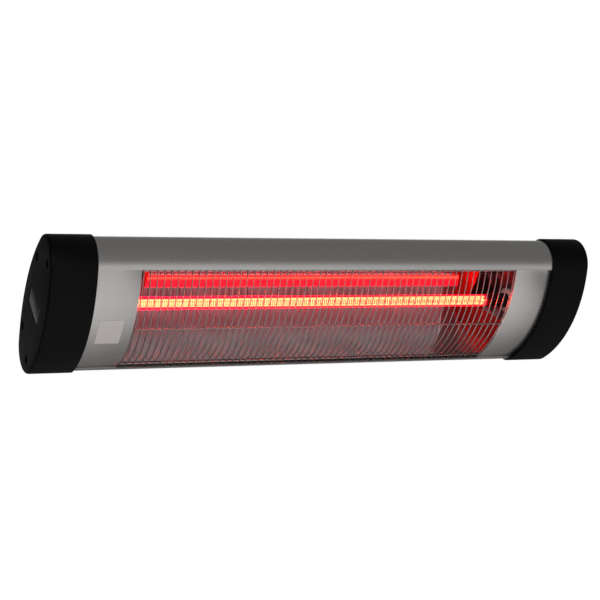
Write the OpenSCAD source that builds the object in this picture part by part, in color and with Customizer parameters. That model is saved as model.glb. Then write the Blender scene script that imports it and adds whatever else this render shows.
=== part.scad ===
// Electric bar heater for a wall: one quartz tube before a trough reflector,
// in an oval aluminium body with black end caps, on a tilting wall bracket.
// X runs along the heater, -Y is the front, +Z is up.
// The origin is the middle of the bracket's back face, on the wall.

/* [Oval section] */
// Half the height of the section, at the caps
half_height = 85; // [82:0.5:90]
// Depth of the section in front of its middle plane
front_depth = 43.75; // [42:0.25:48]
// Depth of the section behind its middle plane
back_depth = 40; // [38:0.5:44]
// Radius of the section's ends, front half
front_end_r = 30; // [27:0.5:32]
// Radius of the section's ends, back half
back_end_r = 27.5; // [26:0.5:30]

/* [Lengths] */
// Aluminium that shows between the two caps
body_length = 539; // [520:1:560]
// Length of one cap
cap_length = 48.5; // [46:0.5:56]
// How far the body reaches into a cap
cap_overlap = 7; // [6:0.5:9]
// Width of a front panel that shows, between its cap and the window
panel_width = 47; // [42:0.5:52]
// Distance from the end of the aluminium that shows to the end plate inside it
plate_inset = 20.5; // [18.5:0.5:25]

/* [Body] */
// How far the body's skin lies inside the caps' outline
skin_inset = 2; // [1.5:0.1:2.4]
// Thickness of the body's skin
skin_t = 1.8; // [1.5:0.1:2]
// Distance of a seam from the nearer end of the section's height
seam_drop = 18; // [17:0.25:19]
// Depth of the groove behind a seam
groove_depth = 3.5; // [3:0.25:4.5]
// Thickness of the lip behind the front panels
lip_t = 1.5; // [1.2:0.1:1.6]
// Thickness of the rib behind the reflector's flange
rib_t = 1.2; // [1:0.1:1.4]
// How far the lip reaches past the seam into the window
lip_reach = 1.5; // [1:0.25:3]
// Width of the rail on the back
rail_width = 18; // [17:0.5:20]
// Height of the rail behind the skin
rail_height = 8.3; // [8:0.1:9]
// Width of the rail's mouth
rail_mouth = 6.6; // [6.4:0.1:7]
// Depth of the rail's lips
rail_lip = 2.6; // [2.2:0.1:3]
// Outer radius of a screw port
port_r = 4; // [3.6:0.1:4.2]
// Thickness of the web that carries a port
port_web = 2; // [1.5:0.1:2.5]

/* [Front panels and grille] */
// Thickness of a front panel
panel_t = 1.5; // [1.2:0.1:1.6]
// Diameter of a grille wire
wire_d = 1.4; // [1.2:0.1:1.5]
// Distance between two wires
wire_pitch = 7.6; // [7:0.1:9]
// Diameter of the two inner rods
rod_d = 2; // [1.6:0.1:2.6]
// Diameter of the outer rod along the middle
middle_rod_d = 1.4; // [1.2:0.1:1.6]

/* [Reflector] */
// Thickness of the reflector's sheet
sheet_t = 0.8; // [0.6:0.1:1]
// Distance of an edge of the trough's mouth from its seam
mouth_drop = 5; // [4.5:0.5:7]
// Distance of the trough's two valleys from the section's back
valley_inset = 10; // [9:0.5:13]
// Half the distance between the valleys
valley_z = 17; // [14:0.5:20]
// Height of the ridge between the valleys
ridge_height = 3.5; // [2:0.25:5]
// How far each side wall bows out from straight
wall_bow = 5; // [3:0.5:6]
// Distance from an end plate to the sloping end wall's foot, at the valleys
slope_foot = 59; // [56:0.5:62]
// How far the end wall slopes out from the valleys to the middle plane
slope_run = 22; // [20:0.5:24]
// Height of the end wall's upper part, behind the middle plane
slope_back = 12; // [10:0.5:13]

/* [Heating tube] */
// Outer diameter of the quartz tube
tube_d = 14; // [13:0.5:15]
// Wall of the quartz tube
tube_wall = 1.2; // [1:0.1:1.4]
// How far the quartz tube reaches out past an end plate
tube_overhang = 13; // [9:0.5:16]
// Distance of the tube's axis behind the middle plane
tube_back = 1; // [-2:0.5:4]
// Cold end of the quartz tube, from the heating coil to the tube's end
cold_length = 47; // [42:0.5:60]
// Diameter of the coil's straight tails
tail_d = 1.6; // [1.2:0.1:2]
// Wall of the caps on the tube's ends
tube_cap_wall = 1.25; // [1:0.05:1.5]
// Length of glass inside a tube cap
tube_cap_grip = 22; // [18:0.5:24]
// End wall of a tube cap
tube_cap_end = 2.8; // [2:0.1:3.5]

/* [End plates and bushes] */
// Thickness of an end plate
plate_t = 1; // [0.8:0.1:1.2]
// Length of an end plate's foot
foot_length = 14; // [12:0.5:16]
// Width of an end plate's foot
foot_width = 14; // [12:0.5:16]
// Radius of a bush's flange
bush_flange_r = 14; // [13:0.25:15]
// Thickness of a bush's flange
bush_flange_t = 3; // [2:0.1:4]
// Wall of a bush's barrel
bush_wall = 2; // [1.8:0.1:2.4]
// Length of a bush's barrel behind the flange
bush_barrel = 8; // [6:0.5:10]
// Thickness of the spring ring on a bush
clip_t = 1; // [0.8:0.1:1.2]
// Width of the spring ring
clip_width = 3; // [2.5:0.1:3.5]

/* [Caps] */
// Wall of a cap
cap_wall = 3; // [2.6:0.1:3.4]
// End wall of a cap
cap_end_t = 3; // [2.5:0.1:4]
// Radius of a cap's outer edge
cap_edge_r = 3; // [2:0.25:4]
// Wall of a screw well in a cap
well_wall = 1.75; // [1.5:0.05:2]
// Radius of a screw well
well_r = 4.75; // [4.5:0.05:5]
// Floor of a screw well
well_floor = 3.5; // [3:0.25:5]
// Thickness of the gasket between body and cap
seal_t = 1.5; // [1:0.1:2]
// Distance of the front screws from the ends of the section's height
front_screw_drop = 21; // [20:0.25:23]
// Distance of the front screws from the section's front
front_screw_inset = 31.25; // [30.25:0.25:32.75]
// Distance of the back screws from the ends of the section's height
back_screw_drop = 39; // [37:0.25:41]
// Distance of the back screws from the section's back
back_screw_inset = 19; // [18:0.25:21]
// Length of the badge plate, front to back
badge_length = 39; // [34:0.5:42]
// Height of the badge plate
badge_height = 20; // [16:0.5:22]
// Thickness of the badge plate
badge_t = 0.8; // [0.6:0.1:1]
// Depth of the recess for the badge plate
badge_recess = 1.1; // [1:0.05:1.5]
// Margin of the recess round the badge plate
badge_margin = 1.5; // [0.5:0.25:2]
// Corner radius of the badge plate
badge_corner_r = 2; // [1:0.25:3]
// Length of the sticker along the heater
sticker_length = 26; // [20:0.5:30]
// Height of the sticker
sticker_height = 32; // [26:0.5:36]
// Thickness of the sticker
sticker_t = 0.2; // [0.1:0.05:0.3]
// Distance from the cap to the sticker
sticker_from_cap = 9.5; // [5:0.5:12]
// How far the sticker's middle lies below the body's middle
sticker_drop = 4; // [0:0.5:8]

/* [Screws] */
// Radius of the M4 screws
screw_r = 2; // [1.9:0.05:2]
// Radius of the M4 screw heads
screw_head_r = 4; // [3.6:0.1:4.2]
// Height of the M4 screw heads
screw_head_h = 2.6; // [2:0.1:3]
// Length of a cap screw under its head
cap_screw_length = 16; // [12:0.5:22]

/* [Wiring] */
// Diameter of a lead over its sleeve
lead_d = 3; // [2.5:0.1:3.2]
// Distance of the long lead's run from the lower end of the section's height
lead_run_drop = 23; // [22:0.5:25]
// Distance of the long lead's run from the section's back
lead_run_inset = 29; // [28:0.5:30]
// Radius of the leads' bends
lead_bend_r = 5.5; // [5:0.25:6]
// Straight lead outside a tube cap
lead_stub = 1; // [0.5:0.25:2]
// Height of the terminal block, top to bottom
block_height = 20; // [18:0.5:22]
// Depth of the terminal block, front to back
block_depth = 32; // [30:0.5:33]
// Top of the terminal block below the middle
block_top = 26; // [24:0.5:27]
// How far the terminal block stands above its entries
block_cover = 5; // [4:0.25:6]
// Distance between two poles of the terminal block
pole_pitch = 10; // [9.5:0.25:10.5]
// Distance from the earth pole to the earth screw
earth_reach = 11; // [10:0.5:13]
// Distance of the earth lead's end below the middle
earth_z = 18; // [17.5:0.25:19]
// Radius of the cable gland's thread
gland_r = 6; // [5.5:0.1:6.5]
// Radius of the hole for the mains cable
gland_bore_r = 3.6; // [3:0.1:4]
// Distance of the gland behind the middle plane
gland_y = 10; // [8:0.5:11]
// Height of the gland below the middle
gland_z = 25; // [23:0.5:26]
// Length of the gland outside the cap
gland_length = 14; // [12:0.5:18]

/* [Bracket and hinge] */
// Distance of the hinge from the wall
hinge_from_wall = 50; // [48:0.5:60]
// Height of the hinge above the bracket's middle
hinge_z = 8; // [4:0.5:10]
// Distance of the hinge behind the section's back
hinge_behind = 18; // [17.5:0.25:22]
// Tilt of the heater, as stored
tilt = 40; // [0:1:55]
// Distance between the lugs' outer faces
lug_spacing = 206; // [180:1:230]
// Length of a lug along the rail
lug_length = 37; // [34:0.5:42]
// Thickness of a lug
lug_t = 3; // [2.5:0.1:3.5]
// Distance of the lug's bolt from its outer face
lug_bolt_in = 21; // [20:0.5:24]
// Radius of the lugs' and the ears' round ends
ear_r = 10; // [9:0.25:10.5]
// Thickness of the bracket's sheet
bracket_t = 2.5; // [2:0.1:3]
// Height of the wall plate
wall_plate_height = 60; // [54:1:64]
// Height of an ear where it meets the wall plate
ear_root = 50; // [44:1:52]
// Distance between the wall screws, along
wall_hole_x = 160; // [120:1:170]
// Distance between the wall screws, up
wall_hole_z = 36; // [30:1:40]
// Radius of the wall screw holes
wall_hole_r = 3.25; // [2.5:0.05:3.5]
// Radius of the M6 bolts
bolt_r = 3; // [2.9:0.05:3]
// Width across flats of the M6 heads and nuts
bolt_flats = 10; // [9.5:0.1:10]
// Height of an M6 head
bolt_head_h = 4; // [3.6:0.1:4.2]
// Height of an M6 nut
nut_h = 5; // [4.5:0.1:5.5]
// Radius of an M6 washer
washer_r = 6; // [5.9:0.1:6.4]
// Thickness of an M6 washer
washer_t = 1.5; // [1:0.1:1.6]
// Thickness of a friction washer
friction_t = 0.85; // [0.8:0.05:1.2]

/* [Hidden] */
$fn = 96;

// Clearances
slide_gap = 0.2;    // a panel or a wire in its groove, a body in its cap
seat_gap = 0.3;     // a loose piece beside what carries it
screw_gap = 0.05;   // a thread in its hole
hinge_gap = 0.05;   // the hinge bolt in its hole
turn_gap = 0.15;    // flat faces that turn past each other
thread_past = 1.5;  // how far a thread stands past its nut
far = 400;          // larger than the section, for cutting planes
cut = 1;            // how far a cutting piece reaches past what it cuts

// Stations along X
body_half = body_length / 2;
body_end = body_half + cap_overlap;
cap_end = body_half + cap_length;
window_half = body_half - panel_width;
plate_in = body_half - plate_inset;
plate_out = plate_in + plate_t;
tube_half = plate_in + tube_overhang;
coil_half = tube_half - cold_length;
seal_out = body_end + seal_t;

// Places inside the section, from its ends
seam_z = half_height - seam_drop;
mouth_z = seam_z - mouth_drop;
valley_depth = back_depth - valley_inset;
front_screw_z = half_height - front_screw_drop;
front_screw_y = front_depth - front_screw_inset;
back_screw_z = half_height - back_screw_drop;
back_screw_y = back_depth - back_screw_inset;
lead_run_z = half_height - lead_run_drop;
lead_run_y = back_depth - lead_run_inset;
hinge_back = back_depth + hinge_behind;

// The section's arcs
function main_r(depth, end_r) =
    (depth * depth + pow(half_height - end_r, 2) - end_r * end_r) / (2 * (depth - end_r));
front_r = main_r(front_depth, front_end_r);
back_r = main_r(back_depth, back_end_r);
front_centre = front_r - front_depth;    // behind the middle plane
// Distance before the middle plane of the front arc, inset, at height z
function front_at(inset, z) = sqrt(pow(front_r - inset, 2) - z * z) - front_centre;

// Insets of what lies behind the seam, from the outside in
panel_inset = skin_inset + skin_t + slide_gap;
lip_inset = panel_inset + panel_t + slide_gap;
wire_inset = panel_inset + wire_d / 2;
wire_r = front_r - wire_inset;
wire_count = floor((window_half - wire_d) * 2 / wire_pitch) + 1;
rod_gap = 0.45;      // from the lip to an inner rod
weld_sink = 0.25;    // how far a weld sinks a wire into a rod
rod_inset = wire_inset + wire_d / 2 + rod_d / 2 - weld_sink;
flange_inset = max(lip_inset + lip_t, rod_inset + rod_d / 2) + slide_gap;
rib_inset = flange_inset + sheet_t + slide_gap;
groove_z = seam_z + groove_depth;
lip_z = seam_z - lip_reach;
panel_gap = 1;      // between a panel's edge and the bottom of its groove
panel_z = groove_z - panel_gap;

// The rail
rail_start = back_depth - skin_inset - skin_t / 2;
rail_back = back_depth - skin_inset + rail_height;
rail_cavity_back = rail_back - rail_lip;
rail_cavity_half = bolt_flats / 2 + slide_gap;
rail_cavity_depth = bolt_head_h + seat_gap;
rail_short = 1.5;    // how far the rail stops before a cap
rail_half_length = body_half - rail_short;

// The trough: [distance behind the middle plane, height]
bend_extra = 0.08;    // how much a bend thickens the sheet, each side
bend_r = sheet_t / 2 + bend_extra;
mouth = [-front_at(flange_inset + sheet_t / 2, mouth_z), mouth_z];
valley = [valley_depth, valley_z];
ridge = [valley_depth - ridge_height, 0];
chord = mouth - valley;
wall_r = (pow(norm(chord) / 2, 2) + wall_bow * wall_bow) / (2 * wall_bow);
inward = [chord[1], -chord[0]] / -norm(chord);
flange_gap = 1;    // from the flange's edge to the seam
wall_centre = (mouth + valley) / 2 + inward * (wall_r - wall_bow);

// Screw ports: [distance behind the middle plane, height]
ports = [
    for (side = [-1, 1]) [-front_screw_y, side * front_screw_z],
    for (side = [-1, 1]) [back_screw_y, side * back_screw_z]
];
front_end_z = half_height - front_end_r;
// Where a port's web starts from: the centre of the arc outside it
function arc_centre(port) =
    port[0] < 0 ? [0, sign(port[1]) * front_end_z] : [back_depth - back_r, 0];

// The tube
tube_r = tube_d / 2;
coil_r = tube_r - tube_wall - seat_gap;
tube_cap_r = tube_r + screw_gap + tube_cap_wall;
tube_cap_out = tube_half + slide_gap + tube_cap_end;
bush_bore_r = tube_cap_r + slide_gap;
bush_r = bush_bore_r + bush_wall;
clip_groove = 0.7;    // depth of the spring ring's groove
clip_in = plate_out + slide_gap;

// Foot of an end plate, on the skin behind the rail
foot_face = back_depth - skin_inset - skin_t - seat_gap;
foot_screw_x = plate_in + foot_length - foot_width / 2;
foot_screw_past = 1;    // how far the foot's screw stands past the skin
foot_screw_length = plate_t + skin_t + foot_screw_past;

// Wiring
lead_r = lead_d / 2;
lead_hole_r = lead_r + screw_gap;
entry_x = tube_cap_out + lead_stub + lead_bend_r;
block_x = entry_x + block_cover;
block_bottom = block_top + block_height;
entry_depth = 6;
lead_in = 4;
turn_angle = atan2(lead_run_y - tube_back, lead_run_z);
turn_height = norm([lead_run_y - tube_back, lead_run_z]);
left_turn_x = -(tube_cap_out + lead_stub);
seal_wider = 1;    // how much wider than the skin's edge a gasket is
ferrule_length = 10;
ferrule_from_bend = 3;
ferrule_x = left_turn_x + ferrule_from_bend;
ferrule_wall = 0.6;
ferrule_r = lead_r + ferrule_wall;
grommet_wall = 1.2;
grommet_hole_r = lead_hole_r + grommet_wall;
grommet_r = grommet_hole_r + grommet_wall;
grommet_lip = 0.8;
earth_y = tube_back - pole_pitch;
earth_screw_y = earth_y - earth_reach;
earth_tag_t = 0.8;
earth_tag_r = 4.6;
earth_crimp_wall = 0.5;

// The gland
gland_hex = 15;
gland_hex_h = 4;
gland_nut_hex = 17;
gland_nut_h = 4.5;
gland_dome_r = 7;
gland_neck = 3;
gland_mouth_wall = 1.5;
gland_thread = cap_end_t + gland_nut_h + thread_past;

// The hinge, along X
lug_out = lug_spacing / 2;
ear_in = lug_out + turn_gap + friction_t;
ear_out = ear_in + bracket_t;
nut_washer_out = lug_out - lug_t - turn_gap;
bolt_end = nut_washer_out - washer_t - nut_h - thread_past;
lug_bolt_x = lug_out - lug_bolt_in;
foot_back = rail_back + lug_t;
lug_margin = 1;    // how far a lug's foot reaches past the rail
lug_half = rail_width / 2 + lug_margin;
plate_corner_r = 6;
friction_r = 8.5;

black = [0.06, 0.06, 0.065];
satin = [0.6, 0.6, 0.59];
bright = [0.8, 0.8, 0.8];
zinc = [0.7, 0.71, 0.72];
steel = [0.55, 0.55, 0.56];
ceramic = [0.9, 0.88, 0.84];

// ---------- Placing ----------

// From the section's plane, [behind, up], to the heater: extruded along X
module along_x() {
    rotate([90, 0, 90]) children();
}

module prism(from, to) {
    translate([from, 0, 0]) along_x() linear_extrude(to - from) children();
}

// A rod along X at [behind, up]
module rod_x(from, to, at, r) {
    translate([from, at[0], at[1]]) rotate([0, 90, 0]) cylinder(h = to - from, r = r);
}

// A six-sided bar along X, measured across its flats
module hex_x(from, to, at, flats) {
    translate([from, at[0], at[1]]) rotate([0, 90, 0])
        cylinder(h = to - from, r = flats / 2 / cos(30), $fn = 6);
}

// The heater's own frame, with its middle at the origin, put on the hinge
module on_hinge() {
    translate([0, -hinge_from_wall, hinge_z]) rotate([tilt, 0, 0])
        translate([0, -hinge_back, 0]) children();
}

module both_sides() {
    children();
    mirror([1, 0, 0]) children();
}

// ---------- The oval section ----------

module half_plane(side) {
    translate([side < 0 ? -far : 0, -far]) square([far, 2 * far]);
}

// The sector of a main arc, between the centres of the two end arcs
module sector(centre, end_z) {
    reach = 3;
    polygon([[centre, 0], [centre - reach * centre, reach * end_z],
        [centre - reach * centre, -reach * end_z]]);
}

// What lies between the sector and the middle plane, above the sector. It laps over
// the sector, where the end arc lies inside the main one, so that the two join.
module end_wedge(centre, end_z) {
    lap = 1;
    polygon([[0, end_z - lap], [-centre, 2 * end_z - lap], [0, 2 * end_z]]);
}

// One half of the oval, inset: side is -1 for the front and 1 for the back
module half_oval(inset, side) {
    end_r = side < 0 ? front_end_r : back_end_r;
    arc_r = side < 0 ? front_r : back_r;
    centre = side < 0 ? front_centre : back_depth - back_r;
    end_z = half_height - end_r;
    intersection() {
        half_plane(side);
        union() {
            intersection() {
                translate([centre, 0]) circle(r = arc_r - inset);
                sector(centre, end_z);
            }
            for (end = [0, 1]) mirror([0, end]) intersection() {
                translate([0, end_z]) circle(r = end_r - inset);
                end_wedge(centre, end_z);
            }
        }
    }
}

module oval(inset) {
    half_oval(inset, -1);
    half_oval(inset, 1);
}

// A strip of the front between two insets and two heights
module front_band(outer, inner, low, high) {
    intersection() {
        difference() {
            half_oval(outer, -1);
            half_oval(inner, -1);
        }
        translate([-far, low]) square([far, high - low]);
    }
}

// A strip of the front's main arc between two insets and two heights
module front_arc(outer, inner, low, high) {
    intersection() {
        translate([front_centre, 0]) difference() {
            circle(r = front_r - outer);
            circle(r = front_r - inner);
        }
        translate([-far, low]) square([far, high - low]);
    }
}

// What lies in front of the middle plane between the seams
module between_seams() {
    translate([-far, -seam_z]) square([far, 2 * seam_z]);
}

// ---------- Body ----------

// A screw port's outside with its web to the rib or the skin, grown by a clearance
module port_outside(port, grow) {
    from = arc_centre(port);
    turn = atan2(port[1] - from[1], port[0] - from[0]);
    width = port_web + 2 * grow;
    translate(port) circle(r = port_r + grow);
    intersection() {
        oval(port[0] < 0 ? rib_inset + rib_t / 2 : skin_inset + skin_t / 2);
        translate(port) rotate(turn) translate([0, -width / 2]) square([far, width]);
    }
}

module port_holes(r) {
    for (port = ports) translate(port) circle(r = r);
}

module skin_section() {
    difference() {
        oval(skin_inset);
        oval(skin_inset + skin_t);
        between_seams();
    }
    for (side = [0, 1]) mirror([0, side]) {
        front_band(lip_inset, lip_inset + lip_t, lip_z, groove_z + lip_t);
        front_band(rib_inset, rib_inset + rib_t, lip_z, groove_z + lip_t);
        front_band(skin_inset + skin_t / 2, rib_inset + rib_t, groove_z, groove_z + lip_t);
    }
    difference() {
        for (port = ports) port_outside(port, 0);
        port_holes(screw_r + screw_gap);
    }
}

module rail_section() {
    difference() {
        translate([rail_start, -rail_width / 2])
            square([rail_back - rail_start, rail_width]);
        translate([rail_cavity_back - rail_cavity_depth, -rail_cavity_half])
            square([rail_cavity_depth, 2 * rail_cavity_half]);
        translate([rail_cavity_back - cut, -rail_mouth / 2])
            square([rail_lip + 2 * cut, rail_mouth]);
    }
}

module rear_housing() {
    color(satin) on_hinge() difference() {
        union() {
            prism(-body_end, body_end) skin_section();
            prism(-rail_half_length, rail_half_length) rail_section();
        }
        both_sides() translate([foot_screw_x, foot_face - cut, 0]) rotate([-90, 0, 0])
            cylinder(h = foot_screw_length + 2 * cut, r = screw_r + screw_gap);
    }
}

module front_panel(from, to) {
    color(satin) on_hinge()
        prism(from, to) front_arc(panel_inset, panel_inset + panel_t, -panel_z, panel_z);
}

module front_panel_left() {
    front_panel(-body_end, -window_half);
}

module front_panel_right() {
    front_panel(window_half, body_end);
}

module rating_sticker() {
    from = -body_half + sticker_from_cap;
    color([0.85, 0.83, 0.8]) on_hinge() prism(from, from + sticker_length)
        front_arc(panel_inset - sticker_t, panel_inset,
            -sticker_drop - sticker_height / 2, -sticker_drop + sticker_height / 2);
}

// ---------- Grille ----------

module grille_wire() {
    half_angle = asin(panel_z / wire_r);
    translate([0, front_centre, 0]) along_x() rotate(180 - half_angle)
        rotate_extrude(angle = 2 * half_angle) translate([wire_r, 0])
            circle(r = wire_d / 2, $fn = 16);
}

module grille_rod(inset, height, r) {
    rod_half = (wire_count - 1) * wire_pitch / 2 + wire_d / 2;
    rod_x(-rod_half, rod_half, [-front_at(inset, height), height], r, $fn = 24);
}

module grille() {
    inner_z = lip_z - rod_d / 2 - rod_gap;
    outer_inset = wire_inset - wire_d / 2 - middle_rod_d / 2 + weld_sink;
    color(bright) on_hinge() {
        for (i = [0 : wire_count - 1])
            translate([(i - (wire_count - 1) / 2) * wire_pitch, 0, 0]) grille_wire();
        for (side = [-1, 1]) grille_rod(rod_inset, side * inner_z, rod_d / 2);
        grille_rod(outer_inset, 0, middle_rod_d / 2);
    }
}

// ---------- End caps ----------

// A disc with a round far edge
module rim_disc(r, length) {
    rotate_extrude() {
        square([r, length - cap_edge_r]);
        square([r - cap_edge_r, length]);
        intersection() {
            translate([r - cap_edge_r, length - cap_edge_r]) circle(r = cap_edge_r);
            square([r, length]);
        }
    }
}

// Half of a solid oval cap with a round far edge
module half_cap(length, side) {
    end_r = side < 0 ? front_end_r : back_end_r;
    arc_r = side < 0 ? front_r : back_r;
    centre = side < 0 ? front_centre : back_depth - back_r;
    end_z = half_height - end_r;
    intersection() {
        linear_extrude(length) half_plane(side);
        union() {
            intersection() {
                translate([centre, 0, 0]) rim_disc(arc_r, length);
                linear_extrude(length) sector(centre, end_z);
            }
            for (end = [0, 1]) mirror([0, end, 0]) intersection() {
                translate([0, end_z, 0]) rim_disc(end_r, length);
                linear_extrude(length) end_wedge(centre, end_z);
            }
        }
    }
}

// The space for the body's end inside a cap's rim
module socket_section() {
    difference() {
        oval(skin_inset - slide_gap);
        between_seams();
    }
    oval(panel_inset - slide_gap);
}

// The right cap, before any recess in its end face
module cap_shell() {
    difference() {
        union() {
            difference() {
                translate([body_half, 0, 0]) along_x() {
                    half_cap(cap_length, -1);
                    half_cap(cap_length, 1);
                }
                prism(seal_out, cap_end - cap_end_t) oval(cap_wall);
                prism(body_half - cut, seal_out) socket_section();
            }
            for (port = ports)
                rod_x(body_end, cap_end - cap_end_t + cut, port, well_r + well_wall);
        }
        for (port = ports) {
            rod_x(body_end + well_floor, cap_end + cut, port, well_r);
            rod_x(body_end - cut, cap_end, port, screw_r + slide_gap);
        }
    }
}

module rounded_plate(size, r) {
    translate([-size[0] / 2, -size[1] / 2 + r]) square([size[0], size[1] - 2 * r]);
    translate([-size[0] / 2 + r, -size[1] / 2]) square([size[0] - 2 * r, size[1]]);
    for (x = [-1, 1], y = [-1, 1])
        translate([x * (size[0] / 2 - r), y * (size[1] / 2 - r)]) circle(r = r);
}

module end_cap_left() {
    recess = [badge_length + 2 * badge_margin, badge_height + 2 * badge_margin];
    color(black) on_hinge() difference() {
        mirror([1, 0, 0]) cap_shell();
        prism(-cap_end - cut, -cap_end + badge_recess)
            rounded_plate(recess, badge_corner_r + badge_margin);
    }
}

module end_cap_right() {
    color(black) on_hinge() difference() {
        cap_shell();
        rod_x(cap_end - cap_end_t - cut, cap_end + cut, [gland_y, -gland_z], gland_r + slide_gap);
    }
}

module badge_plate() {
    color([0.5, 0.5, 0.5]) on_hinge()
        prism(-cap_end + badge_recess - badge_t, -cap_end + badge_recess)
            rounded_plate([badge_length, badge_height], badge_corner_r);
}

module cap_seal() {
    color([0.12, 0.12, 0.12]) on_hinge() prism(body_end, seal_out) difference() {
        oval(skin_inset);
        oval(skin_inset + skin_t + seal_wider);
        between_seams();
    }
}

module cap_seal_left() {
    mirror([1, 0, 0]) cap_seal();
}

module cap_seal_right() {
    cap_seal();
}

// A pan-head screw whose head sits at the origin and whose shank runs along -X
module pan_screw(length) {
    slot_width = 1.2;
    slot_length = screw_head_r * 1.1;
    slot_depth = 1;
    difference() {
        rod_x(0, screw_head_h, [0, 0], screw_head_r);
        for (turn = [0, 90]) translate([screw_head_h, 0, 0]) rotate([turn, 0, 0])
            cube([2 * slot_depth, slot_width, slot_length], center = true);
    }
    rod_x(-length, 0, [0, 0], screw_r);
}

module cap_screws() {
    color(zinc) on_hinge() for (port = ports)
        translate([body_end + well_floor, port[0], port[1]]) pan_screw(cap_screw_length);
}

module cap_screws_left() {
    mirror([1, 0, 0]) cap_screws();
}

module cap_screws_right() {
    cap_screws();
}

// ---------- Reflector ----------

// A straight strip of the sheet, with a round bend at its start
module sheet_strip(from, to) {
    translate(from) circle(r = bend_r);
    translate(from) rotate(atan2(to[1] - from[1], to[0] - from[0]))
        translate([0, -sheet_t / 2]) square([norm(to - from), sheet_t]);
}

// The bowed side wall, from the valley to the mouth
module sheet_wall() {
    reach = 3;
    translate(mouth) circle(r = bend_r);
    intersection() {
        translate(wall_centre) difference() {
            circle(r = wall_r + sheet_t / 2);
            circle(r = wall_r - sheet_t / 2);
        }
        polygon([wall_centre, wall_centre + (mouth - wall_centre) * reach,
            wall_centre + (valley - wall_centre) * reach]);
    }
}

module reflector() {
    half_length = plate_in - seat_gap;
    color(bright) on_hinge() prism(-half_length, half_length) {
        translate(ridge) circle(r = bend_r);
        for (side = [0, 1]) mirror([0, side]) {
            sheet_strip(valley, ridge);
            sheet_wall();
            front_band(flange_inset, flange_inset + sheet_t, mouth_z, seam_z - flange_gap);
        }
    }
}

// What lies inside the trough, clear of its sheet
module trough_inside() {
    clear = sheet_t / 2 + seat_gap;
    back = clear * norm(valley - ridge) / valley_z;
    intersection() {
        union() {
            half_oval(rib_inset, -1);
            translate([-cut, -half_height]) square([valley_depth + cut, 2 * half_height]);
        }
        translate(wall_centre) circle(r = wall_r - clear);
        mirror([0, 1]) translate(wall_centre) circle(r = wall_r - clear);
        polygon([[-far, -far], [valley_depth - back, -far],
            [valley_depth - back, -valley_z], [ridge[0] - back, 0],
            [valley_depth - back, valley_z], [valley_depth - back, far], [-far, far]]);
    }
}

// The end wall closes the trough's end with a slope; above the tube it is open in front
module end_wall() {
    foot_x = plate_in - slope_foot;
    color(bright) on_hinge() intersection() {
        prism(foot_x - slope_run, plate_in - seat_gap) difference() {
            trough_inside();
            translate([slope_back - far, -bush_bore_r]) square([far, far]);
        }
        translate([foot_x, valley_depth, 0]) rotate(-atan2(valley_depth, slope_run))
            translate([-cut, 0, -far]) cube([far, sheet_t, 2 * far]);
    }
}

module end_wall_left() {
    mirror([1, 0, 0]) end_wall();
}

module end_wall_right() {
    end_wall();
}

// ---------- End plates ----------

module plate_section() {
    difference() {
        union() {
            half_oval(rib_inset + rib_t + seat_gap, -1);
            half_oval(skin_inset + skin_t + seat_gap, 1);
        }
        for (port = ports) port_outside(port, seat_gap);
        translate([tube_back, 0]) circle(r = bush_r + screw_gap);
    }
}

module end_plate() {
    color(zinc) on_hinge() difference() {
        union() {
            prism(plate_in, plate_out) plate_section();
            translate([plate_in, foot_face - plate_t, -foot_width / 2])
                cube([foot_length, plate_t, foot_width]);
        }
        translate([foot_screw_x, foot_face - plate_t - cut, 0]) rotate([-90, 0, 0])
            cylinder(h = plate_t + 2 * cut, r = screw_r + slide_gap);
        rod_x(plate_in - cut, plate_out + cut, [lead_run_y, -lead_run_z], grommet_hole_r);
    }
}

module end_plate_left() {
    mirror([1, 0, 0]) end_plate();
}

module end_plate_right() {
    color(zinc) difference() {
        end_plate();
        on_hinge() rod_x(plate_in - cut, plate_out + cut, [earth_screw_y, -earth_z],
            screw_r + screw_gap);
    }
}

module plate_screws() {
    color(zinc) on_hinge() both_sides()
        translate([foot_screw_x, foot_face - plate_t, 0]) rotate([0, 0, -90])
            pan_screw(foot_screw_length);
}

// ---------- Heating tube ----------

module quartz_tube() {
    at = [tube_back, 0];
    color([0.75, 0.05, 0.03, 0.6]) on_hinge() difference() {
        rod_x(-tube_half, tube_half, at, tube_r);
        rod_x(-tube_half - cut, tube_half + cut, at, tube_r - tube_wall);
    }
}

module heating_coil() {
    at = [tube_back, 0];
    color([1, 0.8, 0.3]) on_hinge() {
        rod_x(-coil_half, coil_half, at, coil_r);
        rod_x(-tube_half, tube_half, at, tail_d / 2);
    }
}

module tube_cap() {
    at = [tube_back, 0];
    color([0.15, 0.14, 0.14]) on_hinge() difference() {
        rod_x(tube_half - tube_cap_grip, tube_cap_out, at, tube_cap_r);
        rod_x(tube_half - tube_cap_grip - cut, tube_half + slide_gap, at, tube_r + screw_gap);
        rod_x(tube_half, tube_cap_out + cut, at, lead_hole_r);
    }
}

module tube_cap_left() {
    mirror([1, 0, 0]) tube_cap();
}

module tube_cap_right() {
    tube_cap();
}

module tube_bush() {
    at = [tube_back, 0];
    color(ceramic) on_hinge() difference() {
        union() {
            rod_x(plate_in - bush_flange_t, plate_in, at, bush_flange_r);
            rod_x(plate_in, plate_in + bush_barrel, at, bush_r);
        }
        rod_x(plate_in - bush_flange_t - cut, plate_in + bush_barrel + cut, at, bush_bore_r);
        difference() {
            rod_x(clip_in - screw_gap, clip_in + clip_t + screw_gap, at, bush_r + cut);
            rod_x(clip_in - cut, clip_in + clip_t + cut, at, bush_r - clip_groove);
        }
    }
}

module tube_bush_left() {
    mirror([1, 0, 0]) tube_bush();
}

module tube_bush_right() {
    tube_bush();
}

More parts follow.
